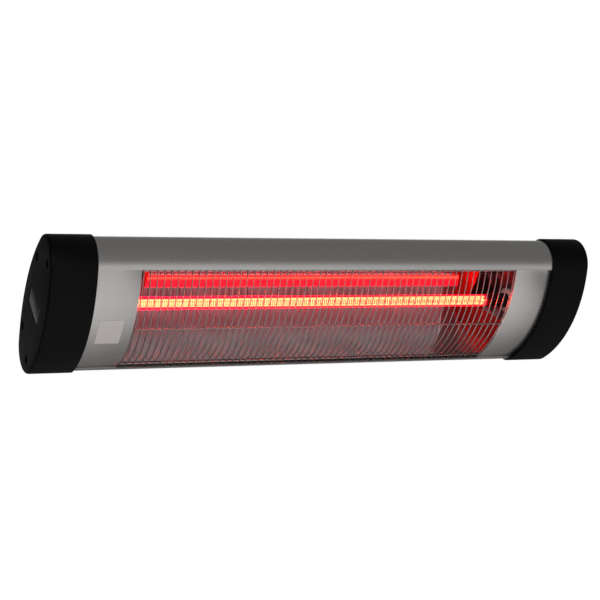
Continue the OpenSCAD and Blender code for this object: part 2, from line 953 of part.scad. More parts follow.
module bush_clip() {
    inner = bush_r - clip_groove + screw_gap;
    color(steel) on_hinge() translate([0, tube_back, 0]) difference() {
        rod_x(clip_in, clip_in + clip_t, [0, 0], inner + clip_width);
        rod_x(clip_in - cut, clip_in + clip_t + cut, [0, 0], inner);
        translate([clip_in - cut, -inner / 2, 0]) cube([clip_t + 2 * cut, inner, far]);
    }
}

module bush_clip_left() {
    mirror([1, 0, 0]) bush_clip();
}

module bush_clip_right() {
    bush_clip();
}

// ---------- Wiring ----------

// A quarter bend of a lead in the X-Z plane, from an angle above +X
module lead_bend(centre, angle) {
    translate([centre[0], 0, centre[1]]) rotate([90, 0, 0]) rotate(angle)
        rotate_extrude(angle = 90) translate([lead_bend_r, 0]) circle(r = lead_r);
}

module rod_z(x, from, to, r) {
    translate([x, 0, from]) cylinder(h = to - from, r = r);
}

module lead_left() {
    down = turn_height - lead_bend_r;
    far_x = left_turn_x - lead_bend_r;
    rise_x = entry_x - lead_bend_r;
    rise_z = lead_bend_r - lead_run_z;
    color([0.8, 0.78, 0.7]) on_hinge() {
        translate([0, tube_back, 0]) rotate([turn_angle, 0, 0]) {
            rod_x(left_turn_x, -tube_half - slide_gap, [0, 0], lead_r);
            lead_bend([left_turn_x, -lead_bend_r], 90);
            rod_z(far_x, -down, -lead_bend_r, lead_r);
            lead_bend([left_turn_x, -down], 180);
            rod_x(left_turn_x, ferrule_x + ferrule_length / 3, [0, -turn_height], lead_r);
        }
        rod_x(ferrule_x, ferrule_x + ferrule_length, [lead_run_y, -lead_run_z], ferrule_r);
        rod_x(ferrule_x + ferrule_length / 2, rise_x, [lead_run_y, -lead_run_z], lead_r);
        translate([0, lead_run_y, 0]) {
            lead_bend([rise_x, rise_z], 270);
            rod_z(entry_x, rise_z, -block_bottom + lead_in, lead_r);
        }
    }
}

module lead_right() {
    color([0.8, 0.78, 0.7]) on_hinge() translate([0, tube_back, 0]) {
        rod_x(tube_half + slide_gap, entry_x - lead_bend_r, [0, 0], lead_r);
        lead_bend([entry_x - lead_bend_r, -lead_bend_r], 0);
        rod_z(entry_x, -block_top - lead_in, -lead_bend_r, lead_r);
    }
}

module lead_grommets() {
    at = [lead_run_y, -lead_run_z];
    color(black) on_hinge() both_sides() difference() {
        union() {
            rod_x(plate_in - grommet_lip, plate_in, at, grommet_r);
            rod_x(plate_in - grommet_lip, plate_out + grommet_lip, at,
                grommet_hole_r - screw_gap);
            rod_x(plate_out, plate_out + grommet_lip, at, grommet_r);
        }
        rod_x(plate_in - 2 * cut, plate_out + 2 * cut, at, lead_hole_r);
    }
}

// The three poles, at their distance behind the middle plane
poles = [for (i = [-1 : 1]) tube_back + i * pole_pitch];
terminal_screw_in = 5.6;
terminal_screw_zs = [-block_top - terminal_screw_in, -block_bottom + terminal_screw_in];
terminal_screw_r = 2.2;
terminal_screw_h = 1.6;
terminal_well = 3;

module terminal_block() {
    color(ceramic) on_hinge() difference() {
        translate([plate_out, tube_back - block_depth / 2, -block_bottom])
            cube([block_x - plate_out, block_depth, block_height]);
        for (y = poles) translate([0, y, 0]) {
            rod_z(entry_x, -block_top - entry_depth, -block_top + cut, lead_hole_r);
            rod_z(entry_x, -block_bottom - cut, -block_bottom + entry_depth, lead_hole_r);
        }
        for (y = poles, z = terminal_screw_zs)
            rod_x(block_x - terminal_well, block_x + cut, [y, z], terminal_screw_r + slide_gap);
    }
}

module terminal_screws() {
    floor_x = block_x - terminal_well;
    color([0.75, 0.62, 0.3]) on_hinge() for (y = poles, z = terminal_screw_zs) difference() {
        rod_x(floor_x, floor_x + terminal_screw_h, [y, z], terminal_screw_r);
        translate([floor_x + terminal_screw_h, y, z])
            cube([1.2, 0.8, 2 * terminal_screw_r + 1], center = true);
    }
}

module earth_lead() {
    tag_out = plate_out + earth_tag_t;
    bend_z = -earth_z - lead_bend_r;
    color([0.3, 0.55, 0.2]) on_hinge() {
        translate([0, earth_y, 0]) {
            rod_z(entry_x, -block_top - lead_in, bend_z, lead_r);
            lead_bend([entry_x - lead_bend_r, bend_z], 0);
            rod_x(tag_out, entry_x - lead_bend_r, [0, -earth_z], lead_r);
        }
        prism(plate_out, tag_out) difference() {
            union() {
                translate([earth_screw_y, -earth_z]) circle(r = earth_tag_r);
                translate([earth_y, -earth_z]) circle(r = lead_r + earth_crimp_wall);
                translate([earth_screw_y, -earth_z - lead_r]) square([earth_reach, lead_d]);
            }
            translate([earth_screw_y, -earth_z]) circle(r = screw_r + slide_gap);
        }
    }
}

module earth_screw() {
    head_x = plate_out + earth_tag_t;
    color([0.75, 0.62, 0.3]) on_hinge()
        translate([head_x, earth_screw_y, -earth_z]) pan_screw(head_x - plate_in);
}

// ---------- Cable gland ----------

module cable_gland() {
    at = [gland_y, -gland_z];
    neck_x = cap_end + gland_length - gland_neck;
    color([0.1, 0.1, 0.1]) on_hinge() difference() {
        union() {
            rod_x(cap_end - gland_thread, cap_end, at, gland_r);
            hex_x(cap_end, cap_end + gland_hex_h, at, gland_hex);
            rod_x(cap_end + gland_hex_h, neck_x, at, gland_dome_r);
            translate([neck_x, gland_y, -gland_z]) rotate([0, 90, 0]) cylinder(h = gland_neck,
                r1 = gland_dome_r, r2 = gland_bore_r + gland_mouth_wall);
        }
        rod_x(cap_end - gland_thread - cut, cap_end + gland_length + cut, at, gland_bore_r);
    }
}

module gland_nut() {
    at = [gland_y, -gland_z];
    inner = cap_end - cap_end_t;
    color([0.1, 0.1, 0.1]) on_hinge() difference() {
        hex_x(inner - gland_nut_h, inner, at, gland_nut_hex);
        rod_x(inner - gland_nut_h - cut, inner + cut, at, gland_r + screw_gap);
    }
}

// ---------- Lugs on the rail ----------

module tilt_lug() {
    color(black) on_hinge() difference() {
        union() {
            translate([lug_out - lug_length, rail_back, -lug_half])
                cube([lug_length, lug_t, 2 * lug_half]);
            prism(lug_out - lug_t, lug_out) {
                translate([hinge_back, 0]) circle(r = ear_r);
                translate([rail_back, -ear_r]) square([hinge_back - rail_back, 2 * ear_r]);
            }
        }
        rod_x(lug_out - lug_t - cut, lug_out + cut, [hinge_back, 0], bolt_r + hinge_gap);
        translate([lug_bolt_x, rail_back - cut, 0]) rotate([-90, 0, 0])
            cylinder(h = lug_t + 2 * cut, r = bolt_r + slide_gap);
    }
}

module tilt_lug_left() {
    mirror([1, 0, 0]) tilt_lug();
}

module tilt_lug_right() {
    tilt_lug();
}

module lug_bolts() {
    shank = foot_back + washer_t + nut_h + thread_past - rail_cavity_back;
    color(zinc) on_hinge() both_sides()
        translate([lug_bolt_x, rail_cavity_back, 0]) rotate([-90, 0, 0]) {
            translate([0, 0, -bolt_head_h])
                cylinder(h = bolt_head_h, r = bolt_flats / 2 / cos(30), $fn = 6);
            translate([0, 0, -cut]) cylinder(h = shank + cut, r = bolt_r);
        }
}

module lug_nuts() {
    color(zinc) on_hinge() both_sides()
        translate([lug_bolt_x, foot_back, 0]) rotate([-90, 0, 0]) difference() {
            union() {
                cylinder(h = washer_t, r = washer_r);
                translate([0, 0, washer_t])
                    cylinder(h = nut_h, r = bolt_flats / 2 / cos(30), $fn = 6);
            }
            translate([0, 0, -cut]) cylinder(h = washer_t + nut_h + 2 * cut, r = bolt_r + screw_gap);
        }
}

// ---------- Wall bracket ----------

hinge_at = [-hinge_from_wall, hinge_z];

module bracket_ear() {
    prism(ear_in, ear_out) difference() {
        union() {
            translate(hinge_at) circle(r = ear_r);
            polygon([[-bracket_t, -ear_root / 2], [-bracket_t, ear_root / 2],
                hinge_at + [0, ear_r], hinge_at - [0, ear_r]]);
        }
        translate(hinge_at) circle(r = bolt_r + hinge_gap);
    }
}

module wall_bracket() {
    color(black) {
        rotate([90, 0, 0]) linear_extrude(bracket_t) difference() {
            rounded_plate([2 * ear_out, wall_plate_height], plate_corner_r);
            for (x = [-1, 1], z = [-1, 1])
                translate([x * wall_hole_x / 2, z * wall_hole_z / 2]) circle(r = wall_hole_r);
        }
        both_sides() bracket_ear();
    }
}

module pivot_bolts() {
    head_x = ear_out + washer_t;
    color(zinc) both_sides() {
        hex_x(head_x, head_x + bolt_head_h, hinge_at, bolt_flats);
        rod_x(bolt_end, head_x, hinge_at, bolt_r);
    }
}

module ring_x(from, to, outer, inner) {
    difference() {
        rod_x(from, to, hinge_at, outer);
        rod_x(from - cut, to + cut, hinge_at, inner);
    }
}

module pivot_washers() {
    color(zinc) both_sides() {
        ring_x(ear_out, ear_out + washer_t, washer_r, bolt_r + screw_gap);
        ring_x(nut_washer_out - washer_t, nut_washer_out, washer_r, bolt_r + screw_gap);
    }
}

module friction_washers() {
    color([0.35, 0.25, 0.2]) both_sides()
        ring_x(ear_in - friction_t, ear_in, friction_r, bolt_r + screw_gap);
}

module pivot_nuts() {
    out = nut_washer_out - washer_t;
    color(zinc) both_sides() difference() {
        hex_x(out - nut_h, out, hinge_at, bolt_flats);
        rod_x(out - nut_h - cut, out + cut, hinge_at, bolt_r + screw_gap);
    }
}

rear_housing();
front_panel_left();
front_panel_right();
grille();
rating_sticker();
end_cap_left();
end_cap_right();
cap_seal_left();
cap_seal_right();
badge_plate();
cap_screws_left();
cap_screws_right();
reflector();
end_wall_left();
end_wall_right();
end_plate_left();
end_plate_right();
plate_screws();
quartz_tube();
heating_coil();
tube_cap_left();
tube_cap_right();
tube_bush_left();
tube_bush_right();
bush_clip_left();
bush_clip_right();
lead_left();
lead_right();
lead_grommets();
terminal_block();
terminal_screws();
earth_lead();
earth_screw();
cable_gland();
gland_nut();
tilt_lug_left();
tilt_lug_right();
lug_bolts();
lug_nuts();
wall_bracket();
pivot_bolts();
pivot_washers();
friction_washers();
pivot_nuts();
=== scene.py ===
"""Electric bar heater: finer shapes, finishes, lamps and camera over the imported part.

All sizes are metres in the part's own frame: the wall is at Y = 0, the front is -Y and
+Z is up. The heater's own pieces are drawn level round the middle of its body and are
then put on the hinge, tilted as the part is stored.
"""

import logging
import math
from collections.abc import Iterable, Sequence
from dataclasses import dataclass, field
from enum import Enum

import bpy
from mathutils import Matrix, Vector


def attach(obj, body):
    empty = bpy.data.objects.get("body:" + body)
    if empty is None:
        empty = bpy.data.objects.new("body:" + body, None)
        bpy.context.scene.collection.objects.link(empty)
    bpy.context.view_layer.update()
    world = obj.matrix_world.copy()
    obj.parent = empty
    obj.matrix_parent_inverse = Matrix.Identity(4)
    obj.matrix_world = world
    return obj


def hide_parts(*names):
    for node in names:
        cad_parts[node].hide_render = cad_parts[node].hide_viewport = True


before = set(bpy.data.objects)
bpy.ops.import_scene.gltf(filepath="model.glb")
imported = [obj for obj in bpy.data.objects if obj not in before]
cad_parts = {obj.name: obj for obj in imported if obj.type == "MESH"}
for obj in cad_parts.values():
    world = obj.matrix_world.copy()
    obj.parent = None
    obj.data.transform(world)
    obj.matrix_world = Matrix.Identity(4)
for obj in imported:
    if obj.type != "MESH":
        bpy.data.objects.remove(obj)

LOG = logging.getLogger("bar_heater")
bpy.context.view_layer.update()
MM = 0.001

# The hinge: its place, how far it lies behind the body's middle, and the stored tilt.
HINGE = Vector((0.0, -50 * MM, 8 * MM))
HINGE_BACK = 58 * MM
TILT = math.radians(40)
ON_HINGE = (
    Matrix.Translation(HINGE)
    @ Matrix.Rotation(TILT, 4, "X")
    @ Matrix.Translation((0.0, -HINGE_BACK, 0.0))
)

COIL_HALF = 215 * MM
HEATER = "heater"
BRACKET = "bracket"


# ---------------------------------------------------------------- finishes


def linear(code: str, alpha: float = 1.0) -> tuple[float, float, float, float]:
    """Turns an sRGB hex value into a linear colour.

    Args:
        code: Six hex digits.
        alpha: The fourth number.

    Returns:
        Red, green, blue and alpha.
    """
    channels = [int(code[i : i + 2], 16) / 255 for i in (0, 2, 4)]
    turned = [c / 12.92 if c <= 0.04045 else ((c + 0.055) / 1.055) ** 2.4 for c in channels]
    return turned[0], turned[1], turned[2], alpha


def add_node(
    tree: bpy.types.NodeTree,
    kind: str,
    settings: dict | None = None,
    links: dict | None = None,
) -> bpy.types.Node:
    """Adds one shader node.

    Args:
        tree: The node tree that gets it.
        kind: Blender's name of the node's type.
        settings: Values by attribute name, or by input name or number.
        links: Output sockets by input name or number.

    Returns:
        The new node.
    """
    node = tree.nodes.new(kind)
    for key, value in (settings or {}).items():
        if isinstance(key, str) and hasattr(node, key) and key not in node.inputs:
            setattr(node, key, value)
        else:
            node.inputs[key].default_value = value
    for key, socket in (links or {}).items():
        tree.links.new(socket, node.inputs[key])
    return node


class Grain(Enum):
    """How a surface was made, which gives its fine pattern."""

    EXTRUDED = "extruded"
    ROLLED = "rolled"
    MOULDED = "moulded"
    PLATED = "plated"
    COATED = "coated"
    FIRED = "fired"
    WOVEN = "woven"


@dataclass(frozen=True)
class Surface:
    """A finish: what it is made of, its colour and the pattern of its making."""

    name: str
    slot: str
    grain: Grain
    colour: str
    other: str
    metallic: float
    roughness: tuple[float, float]
    pitch: float
    depth: float
    coat: float = 0.0
    sheen: float = 0.0
    ior: float = 1.5

    def coordinates(self, tree: bpy.types.NodeTree) -> bpy.types.NodeSocket:
        """Gives the pattern's coordinates, drawn out along the heater where it is.

        Args:
            tree: The material's tree.

        Returns:
            A vector in units of the pattern's pitch.
        """
        place = add_node(tree, "ShaderNodeTexCoord")
        along = {Grain.EXTRUDED: 0.004, Grain.ROLLED: 0.03}.get(self.grain, 1.0)
        scale = (along / self.pitch, 1 / self.pitch, 1 / self.pitch)
        mapped = add_node(
            tree, "ShaderNodeMapping", {"Scale": scale}, {"Vector": place.outputs["Object"]}
        )
        return mapped.outputs["Vector"]

    def pattern(self, tree: bpy.types.NodeTree) -> bpy.types.NodeSocket:
        """Draws the pattern of the making.

        Args:
            tree: The material's tree.

        Returns:
            The pattern's height, from 0 to 1.
        """
        vector = self.coordinates(tree)
        if self.grain is Grain.WOVEN:
            waves = [
                add_node(
                    tree,
                    "ShaderNodeTexWave",
                    {"bands_direction": way, "Scale": 0.5, "Distortion": 1.5, "Detail": 1.0},
                    {"Vector": vector},
                ).outputs["Fac"]
                for way in ("X", "DIAGONAL")
            ]
            both = add_node(tree, "ShaderNodeMath", {"operation": "MAXIMUM"}, dict(enumerate(waves)))
            return both.outputs[0]
        detail = 5.0 if self.grain in (Grain.MOULDED, Grain.EXTRUDED) else 3.0
        noise = add_node(
            tree,
            "ShaderNodeTexNoise",
            {"Scale": 1.0, "Detail": detail, "Roughness": 0.6},
            {"Vector": vector},
        )
        if self.grain is not Grain.MOULDED:
            return noise.outputs["Fac"]
        cells = add_node(
            tree,
            "ShaderNodeTexVoronoi",
            {"feature": "SMOOTH_F1", "Scale": 0.9, "Smoothness": 0.6},
            {"Vector": vector},
        )
        mixed = add_node(
            tree,
            "ShaderNodeMath",
            {"operation": "MULTIPLY_ADD", 1: 0.7},
            {0: cells.outputs["Distance"], 2: noise.outputs["Fac"]},
        )
        return mixed.outputs[0]

    def clouds(self, tree: bpy.types.NodeTree, size: float) -> bpy.types.NodeSocket:
        """Gives soft, uneven patches, as from handling and dust.

        Args:
            tree: The material's tree.
            size: How large a patch is.

        Returns:
            The patches' strength, from 0 to 1.
        """
        place = add_node(tree, "ShaderNodeTexCoord")
        noise = add_node(
            tree,
            "ShaderNodeTexNoise",
            {"Scale": 1 / size, "Detail": 4.0, "Roughness": 0.55},
            {"Vector": place.outputs["Object"]},
        )
        return noise.outputs["Fac"]

    def build(self) -> bpy.types.Material:
        """Makes the material.

        Returns:
            The material, with its colour, roughness and relief from nodes.
        """
        made = bpy.data.materials.new(self.name)
        made.use_nodes = True
        tree = made.node_tree
        tree.nodes.clear()
        height = self.pattern(tree)
        patches = self.clouds(tree, 0.035)
        blend = add_node(
            tree,
            "ShaderNodeMath",
            {"operation": "MULTIPLY_ADD", 1: 0.5, "use_clamp": True},
            {0: height, 2: add_node(
                tree, "ShaderNodeMath", {"operation": "MULTIPLY", 1: 0.5}, {0: patches}
            ).outputs[0]},
        )
        colour = add_node(
            tree,
            "ShaderNodeMix",
            {"data_type": "RGBA", 6: linear(self.colour), 7: linear(self.other)},
            {0: blend.outputs[0]},
        )
        rough = add_node(
            tree,
            "ShaderNodeMapRange",
            {"From Min": 0.3, "From Max": 0.7, "To Min": self.roughness[0],
             "To Max": self.roughness[1]},
            {"Value": blend.outputs[0]},
        )
        relief = add_node(
            tree,
            "ShaderNodeBump",
            {"Strength": 1.0, "Distance": self.depth},
            {"Height": height},
        )
        shader = add_node(
            tree,
            "ShaderNodeBsdfPrincipled",
            {"Metallic": self.metallic, "IOR": self.ior, "Coat Weight": self.coat,
             "Sheen Weight": self.sheen},
            {"Base Color": colour.outputs[2], "Roughness": rough.outputs[0],
             "Normal": relief.outputs[0]},
        )
        add_node(tree, "ShaderNodeOutputMaterial", None, {"Surface": shader.outputs[0]})
        return made


# Satin anodised aluminium, pressed through a die: a soft grey with faint lines along it.
ANODISED = Surface("satin_anodised_aluminium", "anodised_aluminium", Grain.EXTRUDED,
                   "C9C6C3", "BDBAB8", 1.0, (0.24, 0.33), 0.6 * MM, 0.004 * MM)
# Chromium over drawn steel wire: bright, dark where it mirrors the room.
CHROMED = Surface("chromed_steel_wire", "grille_wire", Grain.PLATED,
                  "A9A3A2", "98918F", 1.0, (0.10, 0.18), 3.0 * MM, 0.002 * MM)
# Black heat-proof plastic from a spark-eroded mould: a fine leathery grain, dull light.
MOULDED_BLACK = Surface("spark_textured_black_plastic", "black_plastic", Grain.MOULDED,
                        "050505", "090909", 0.0, (0.36, 0.50), 0.8 * MM, 0.02 * MM, ior=1.18)
# Plain black polyamide, as cable glands are: smoother and a little shinier.
POLYAMIDE = Surface("black_polyamide", "gland_plastic", Grain.FIRED,
                    "0A0A0B", "101011", 0.0, (0.34, 0.46), 2.0 * MM, 0.01 * MM, ior=1.35)
SILICONE = Surface("black_silicone", "seal_rubber", Grain.FIRED,
                   "1A1A1B", "232325", 0.0, (0.55, 0.70), 1.0 * MM, 0.01 * MM)
# A bare brushed plate: fine lines along it.
BRUSHED = Surface("brushed_aluminium_plate", "badge_metal", Grain.EXTRUDED,
                  "787779", "888789", 1.0, (0.28, 0.42), 0.5 * MM, 0.01 * MM)
# Matt white polyester film, bare.
FILM = Surface("matt_white_film", "sticker_film", Grain.FIRED,
               "D9D3CF", "CFC8C4", 0.0, (0.40, 0.52), 1.5 * MM, 0.004 * MM, coat=0.15)
# Zinc plating, blue passivated: grey with a faint cloudiness.
ZINC = Surface("zinc_plated_steel", "zinc_steel", Grain.PLATED,
               "B4B8BC", "9EA2A6", 1.0, (0.26, 0.42), 2.5 * MM, 0.01 * MM)
ALUMINISED = Surface("aluminised_steel_sheet", "plate_steel", Grain.PLATED,
                     "A9A8A6", "8F8E8C", 1.0, (0.35, 0.50), 4.0 * MM, 0.02 * MM)
# Metal that has been red hot many times: a dark, dull oxide.
OXIDISED = Surface("oxidised_steel_cap", "tube_end_metal", Grain.COATED,
                   "262120", "3A302C", 0.6, (0.50, 0.70), 2.0 * MM, 0.02 * MM)
# Steatite: dense white ceramic, fired with a thin shine.
STEATITE = Surface("white_steatite", "white_ceramic", Grain.FIRED,
                   "EFEAE2", "E2DBD0", 0.0, (0.28, 0.42), 1.2 * MM, 0.01 * MM)
BLUED = Surface("blued_spring_steel", "spring_steel", Grain.PLATED,
                "4E545E", "5F656D", 1.0, (0.25, 0.38), 2.0 * MM, 0.005 * MM)
# Braided glass-fibre sleeve: cream, with the braid's little ribs.
BRAID = Surface("glass_fibre_braid", "lead_sleeve", Grain.WOVEN,
                "B9B19B", "E2DCC8", 0.0, (0.60, 0.75), 0.9 * MM, 0.12 * MM, sheen=0.2)
EARTH = Surface("green_yellow_braid", "earth_sleeve", Grain.WOVEN,
                "2F7A2C", "D8C92C", 0.0, (0.50, 0.65), 2.4 * MM, 0.05 * MM)
BRASS = Surface("plain_brass", "brass_screw", Grain.PLATED,
                "C9A55C", "B08D49", 1.0, (0.22, 0.36), 2.0 * MM, 0.005 * MM)
# Black powder coat, baked on: dull with the slight orange peel of the powder.
POWDER = Surface("black_powder_coat", "black_steel", Grain.COATED,
                 "151516", "1E1E1F", 0.0, (0.38, 0.52), 1.4 * MM, 0.04 * MM)
FIBRE = Surface("pressed_brown_fibre", "friction_fibre", Grain.MOULDED,
                "5A4030", "6D4E3A", 0.0, (0.65, 0.80), 0.7 * MM, 0.03 * MM)


def hot_stretch(tree: bpy.types.NodeTree) -> bpy.types.NodeSocket:
    """Finds the stretch of the tube that the wound coil heats.

    Args:
        tree: The material's tree.

    Returns:
        1 along the coil, falling to 0 over 5 mm past each of its ends.
    """
    place = add_node(tree, "ShaderNodeTexCoord")
    parts = add_node(tree, "ShaderNodeSeparateXYZ", None, {0: place.outputs["Object"]})
    reach = add_node(tree, "ShaderNodeMath", {"operation": "ABSOLUTE"}, {0: parts.outputs["X"]})
    heat = add_node(
        tree, "ShaderNodeMapRange",
        {"interpolation_type": "SMOOTHSTEP", "From Min": COIL_HALF,
         "From Max": COIL_HALF + 5 * MM, "To Min": 1.0, "To Max": 0.0},
        {"Value": reach.outputs[0]})
    return heat.outputs[0]


@dataclass(frozen=True)
class BrightSheet:
    """Rolled bright aluminium: a mirror under a haze, with the tube's red glow painted into its colour
    around the tube.
    """

    name: str = "bright_rolled_aluminium"
    slot: str = "reflector_aluminium"
    colour: str = "D8D8D8"
    # the tube's red glow, painted into the sheet's colour around the tube
    painted_glow_tint: str = "D48E94"
    mirror: tuple[float, float] = (0.02, 0.05)
    haze: float = 0.42
    haze_share: float = 0.28

    def build(self) -> bpy.types.Material:
        """Makes the material.

        Returns:
            A sharp and a hazy reflection, both drawn along the roll's lines, over a colour with the tube's
            red glow painted in around the tube.
        """
        made = bpy.data.materials.new(self.name)
        made.use_nodes = True
        tree = made.node_tree
        tree.nodes.clear()
        place = add_node(tree, "ShaderNodeTexCoord")
        # the roll's lines: 50 mm long and under a millimetre apart
        lines = add_node(
            tree, "ShaderNodeMapping", {"Scale": (20, 1200, 1200)},
            {"Vector": place.outputs["Object"]})
        roll = add_node(tree, "ShaderNodeTexNoise", {"Scale": 1.0, "Detail": 4.0},
                        {"Vector": lines.outputs[0]})
        cloud = add_node(tree, "ShaderNodeTexNoise", {"Scale": 28.0, "Detail": 3.0},
                         {"Vector": place.outputs["Object"]})
        # painted red glow of the tube: pink around the tube and above it, plain bright towards the
        # trough's foot
        arm = add_node(tree, "ShaderNodeVectorMath",
                       {"operation": "SUBTRACT", 1: ON_HINGE @ Vector((0.0, 0.0, 0.0))},
                       {0: place.outputs["Object"]})
        height = add_node(tree, "ShaderNodeVectorMath",
                          {"operation": "DOT_PRODUCT",
                           1: ON_HINGE.to_3x3() @ Vector((0.0, 0.0, 1.0))},
                          {0: arm.outputs[0]})
        edge = add_node(tree, "ShaderNodeMath", {"operation": "MULTIPLY_ADD", 1: 12 * MM},
                        {0: cloud.outputs["Fac"], 2: height.outputs["Value"]})
        # share of the painted red glow by height: none low in the trough, full around the tube and above
        heat = add_node(tree, "ShaderNodeMapRange",
                        {"interpolation_type": "SMOOTHSTEP", "From Min": -48 * MM,
                         "From Max": -30 * MM, "To Min": 0.0, "To Max": 1.0},
                        {"Value": edge.outputs[0]})
        tone = add_node(
            tree, "ShaderNodeMix",
            {"data_type": "RGBA", 6: linear(self.colour), 7: linear(self.painted_glow_tint)},
            {0: heat.outputs[0]})
        rough = add_node(
            tree, "ShaderNodeMapRange",
            {"From Min": 0.35, "From Max": 0.65, "To Min": self.mirror[0],
             "To Max": self.mirror[1]},
            {"Value": roll.outputs["Fac"]})
        relief = add_node(tree, "ShaderNodeBump", {"Strength": 1.0, "Distance": 0.0015 * MM},
                          {"Height": roll.outputs["Fac"]})
        sharp = add_node(
            tree, "ShaderNodeBsdfPrincipled", {"Metallic": 1.0},
            {"Base Color": tone.outputs[2], "Roughness": rough.outputs[0],
             "Normal": relief.outputs[0]})
        soft = add_node(
            tree, "ShaderNodeBsdfPrincipled", {"Metallic": 1.0, "Roughness": self.haze},
            {"Base Color": tone.outputs[2]})
        both = add_node(tree, "ShaderNodeMixShader", {0: self.haze_share},
                        {1: sharp.outputs[0], 2: soft.outputs[0]})
        add_node(tree, "ShaderNodeOutputMaterial", None, {"Surface": both.outputs[0]})
        return made


# The same sheet at the trough's ends, dulled, with the tube's red glow painted into its colour.
RED_GLOW_SHEET = BrightSheet("painted_red_glow_sheet", colour="F23A30", painted_glow_tint="C02A24",
                     mirror=(0.18, 0.28), haze=0.7, haze_share=0.8)


@dataclass(frozen=True)
class RubyQuartz:
    """Fused quartz with a ruby coating: thin towards the window, dense towards the trough."""

    name: str = "ruby_coated_quartz"
    slot: str = "ruby_quartz"
    tint: str = "FF4A42"
    dense: str = "0A0104"
    window_side: tuple[float, float] = (-0.688, 0.592)
    glow: tuple[float, float, float] = (0.7, 0.003, 0.03)
    dense_glow: float = 2.7
    ior: float = 1.46
    roughness: float = 0.02

    def coating(self, tree: bpy.types.NodeTree) -> bpy.types.NodeSocket:
        """Works out how dense the coating is at a point of the tube.

        Args:
            tree: The material's tree.

        Returns:
            0 on the side of the window, 1 on the side of the trough.
        """
        place = add_node(tree, "ShaderNodeTexCoord")
        axis = ON_HINGE @ Vector((0.0, 1 * MM, 0.0))
        thin = ON_HINGE.to_3x3() @ Vector((0.0, *self.window_side))
        arm = add_node(tree, "ShaderNodeVectorMath", {"operation": "SUBTRACT", 1: axis},
                       {0: place.outputs["Object"]})
        reach = add_node(tree, "ShaderNodeVectorMath", {"operation": "DOT_PRODUCT", 1: thin},
                         {0: arm.outputs[0]})
        edge = add_node(
            tree, "ShaderNodeMapRange",
            {"interpolation_type": "SMOOTHSTEP", "From Min": 0.5 * MM, "From Max": -3.0 * MM,
             "To Min": 0.0, "To Max": 1.0},
            {"Value": reach.outputs["Value"]})
        return edge.outputs[0]

    def build(self) -> bpy.types.Material:
        """Makes the material.

        Returns:
            A tinted glass with faint drawing lines.
        """
        made = bpy.data.materials.new(self.name)
        made.use_nodes = True
        tree = made.node_tree
        tree.nodes.clear()
        place = add_node(tree, "ShaderNodeTexCoord")
        mapped = add_node(
            tree, "ShaderNodeMapping", {"Scale": (8, 900, 900)},
            {"Vector": place.outputs["Object"]},
        )
        noise = add_node(
            tree, "ShaderNodeTexNoise", {"Scale": 1.0, "Detail": 3.0},
            {"Vector": mapped.outputs[0]},
        )
        thin = add_node(
            tree,
            "ShaderNodeMix",
            {"data_type": "RGBA", 6: linear(self.tint), 7: linear("FF4836")},
            {0: noise.outputs["Fac"]},
        )
        tint = add_node(
            tree,
            "ShaderNodeMix",
            {"data_type": "RGBA", 7: linear(self.dense)},
            {0: self.coating(tree), 6: thin.outputs[2]},
        )
        # the denser the coating, the more of the light it takes up and glows with
        taken = add_node(
            tree, "ShaderNodeMapRange",
            {"From Min": 0.0, "From Max": 1.0, "To Min": 1.0, "To Max": self.dense_glow},
            {"Value": self.coating(tree)})
        strength = add_node(tree, "ShaderNodeMath", {"operation": "MULTIPLY"},
                            {0: taken.outputs[0], 1: hot_stretch(tree)})
        shader = add_node(
            tree,
            "ShaderNodeBsdfPrincipled",
            {"Transmission Weight": 1.0, "IOR": self.ior, "Roughness": self.roughness,
             "Emission Color": (*self.glow, 1.0)},
            {"Base Color": tint.outputs[2], "Emission Strength": strength.outputs[0]},
        )
        add_node(tree, "ShaderNodeOutputMaterial", None, {"Surface": shader.outputs[0]})
        return made


@dataclass(frozen=True)
class GlowingWire:
    """Resistance wire at working heat: so bright that only its edge keeps its red."""

    name: str = "glowing_resistance_wire"
    slot: str = "glow_coil"
    glow: tuple[float, float, float] = (22.0, 19.0, 9.5)
    cool: tuple[float, float, float] = (18.0, 11.0, 5.0)

    def build(self) -> bpy.types.Material:
        """Makes the material.

        Returns:
            A light source with slightly cooler stretches along it.
        """
        made = bpy.data.materials.new(self.name)
        made.use_nodes = True
        tree = made.node_tree
        tree.nodes.clear()
        place = add_node(tree, "ShaderNodeTexCoord")
        noise = add_node(
            tree, "ShaderNodeTexNoise", {"Scale": 60.0, "Detail": 2.0},
            {"Vector": place.outputs["Object"]},
        )
        heat = add_node(
            tree,
            "ShaderNodeMix",
            {"data_type": "RGBA", 6: (*self.cool, 1.0), 7: (*self.glow, 1.0)},
            {0: noise.outputs["Fac"]},
        )
        shader = add_node(
            tree,
            "ShaderNodeBsdfPrincipled",
            {"Base Color": linear("3A2A22"), "Roughness": 0.6},
            {"Emission Color": heat.outputs[2], "Emission Strength": hot_stretch(tree)},
        )
        add_node(tree, "ShaderNodeOutputMaterial", None, {"Surface": shader.outputs[0]})
        return made


Finish = Surface | BrightSheet | RubyQuartz | GlowingWire


class Paintshop:
    """Builds each finish once and gives it out."""

    def __init__(self) -> None:
        """Starts with no materials."""
        self.made: dict[str, bpy.types.Material] = {}

    def paint(self, obj: bpy.types.Object, finish: Finish) -> None:
        """Gives a piece its finish.

        Args:
            obj: The piece.
            finish: What it is finished in.
        """
        if finish.name not in self.made:
            self.made[finish.name] = finish.build()
        obj.data.materials.clear()
        obj.data.materials.append(self.made[finish.name])


# ---------------------------------------------------------------- workbench


def clear_selection() -> None:
    """Deselects everything and leaves edit mode."""
    if bpy.context.object and bpy.context.object.mode != "OBJECT":
        bpy.ops.object.mode_set(mode="OBJECT")
    bpy.ops.object.select_all(action="DESELECT")


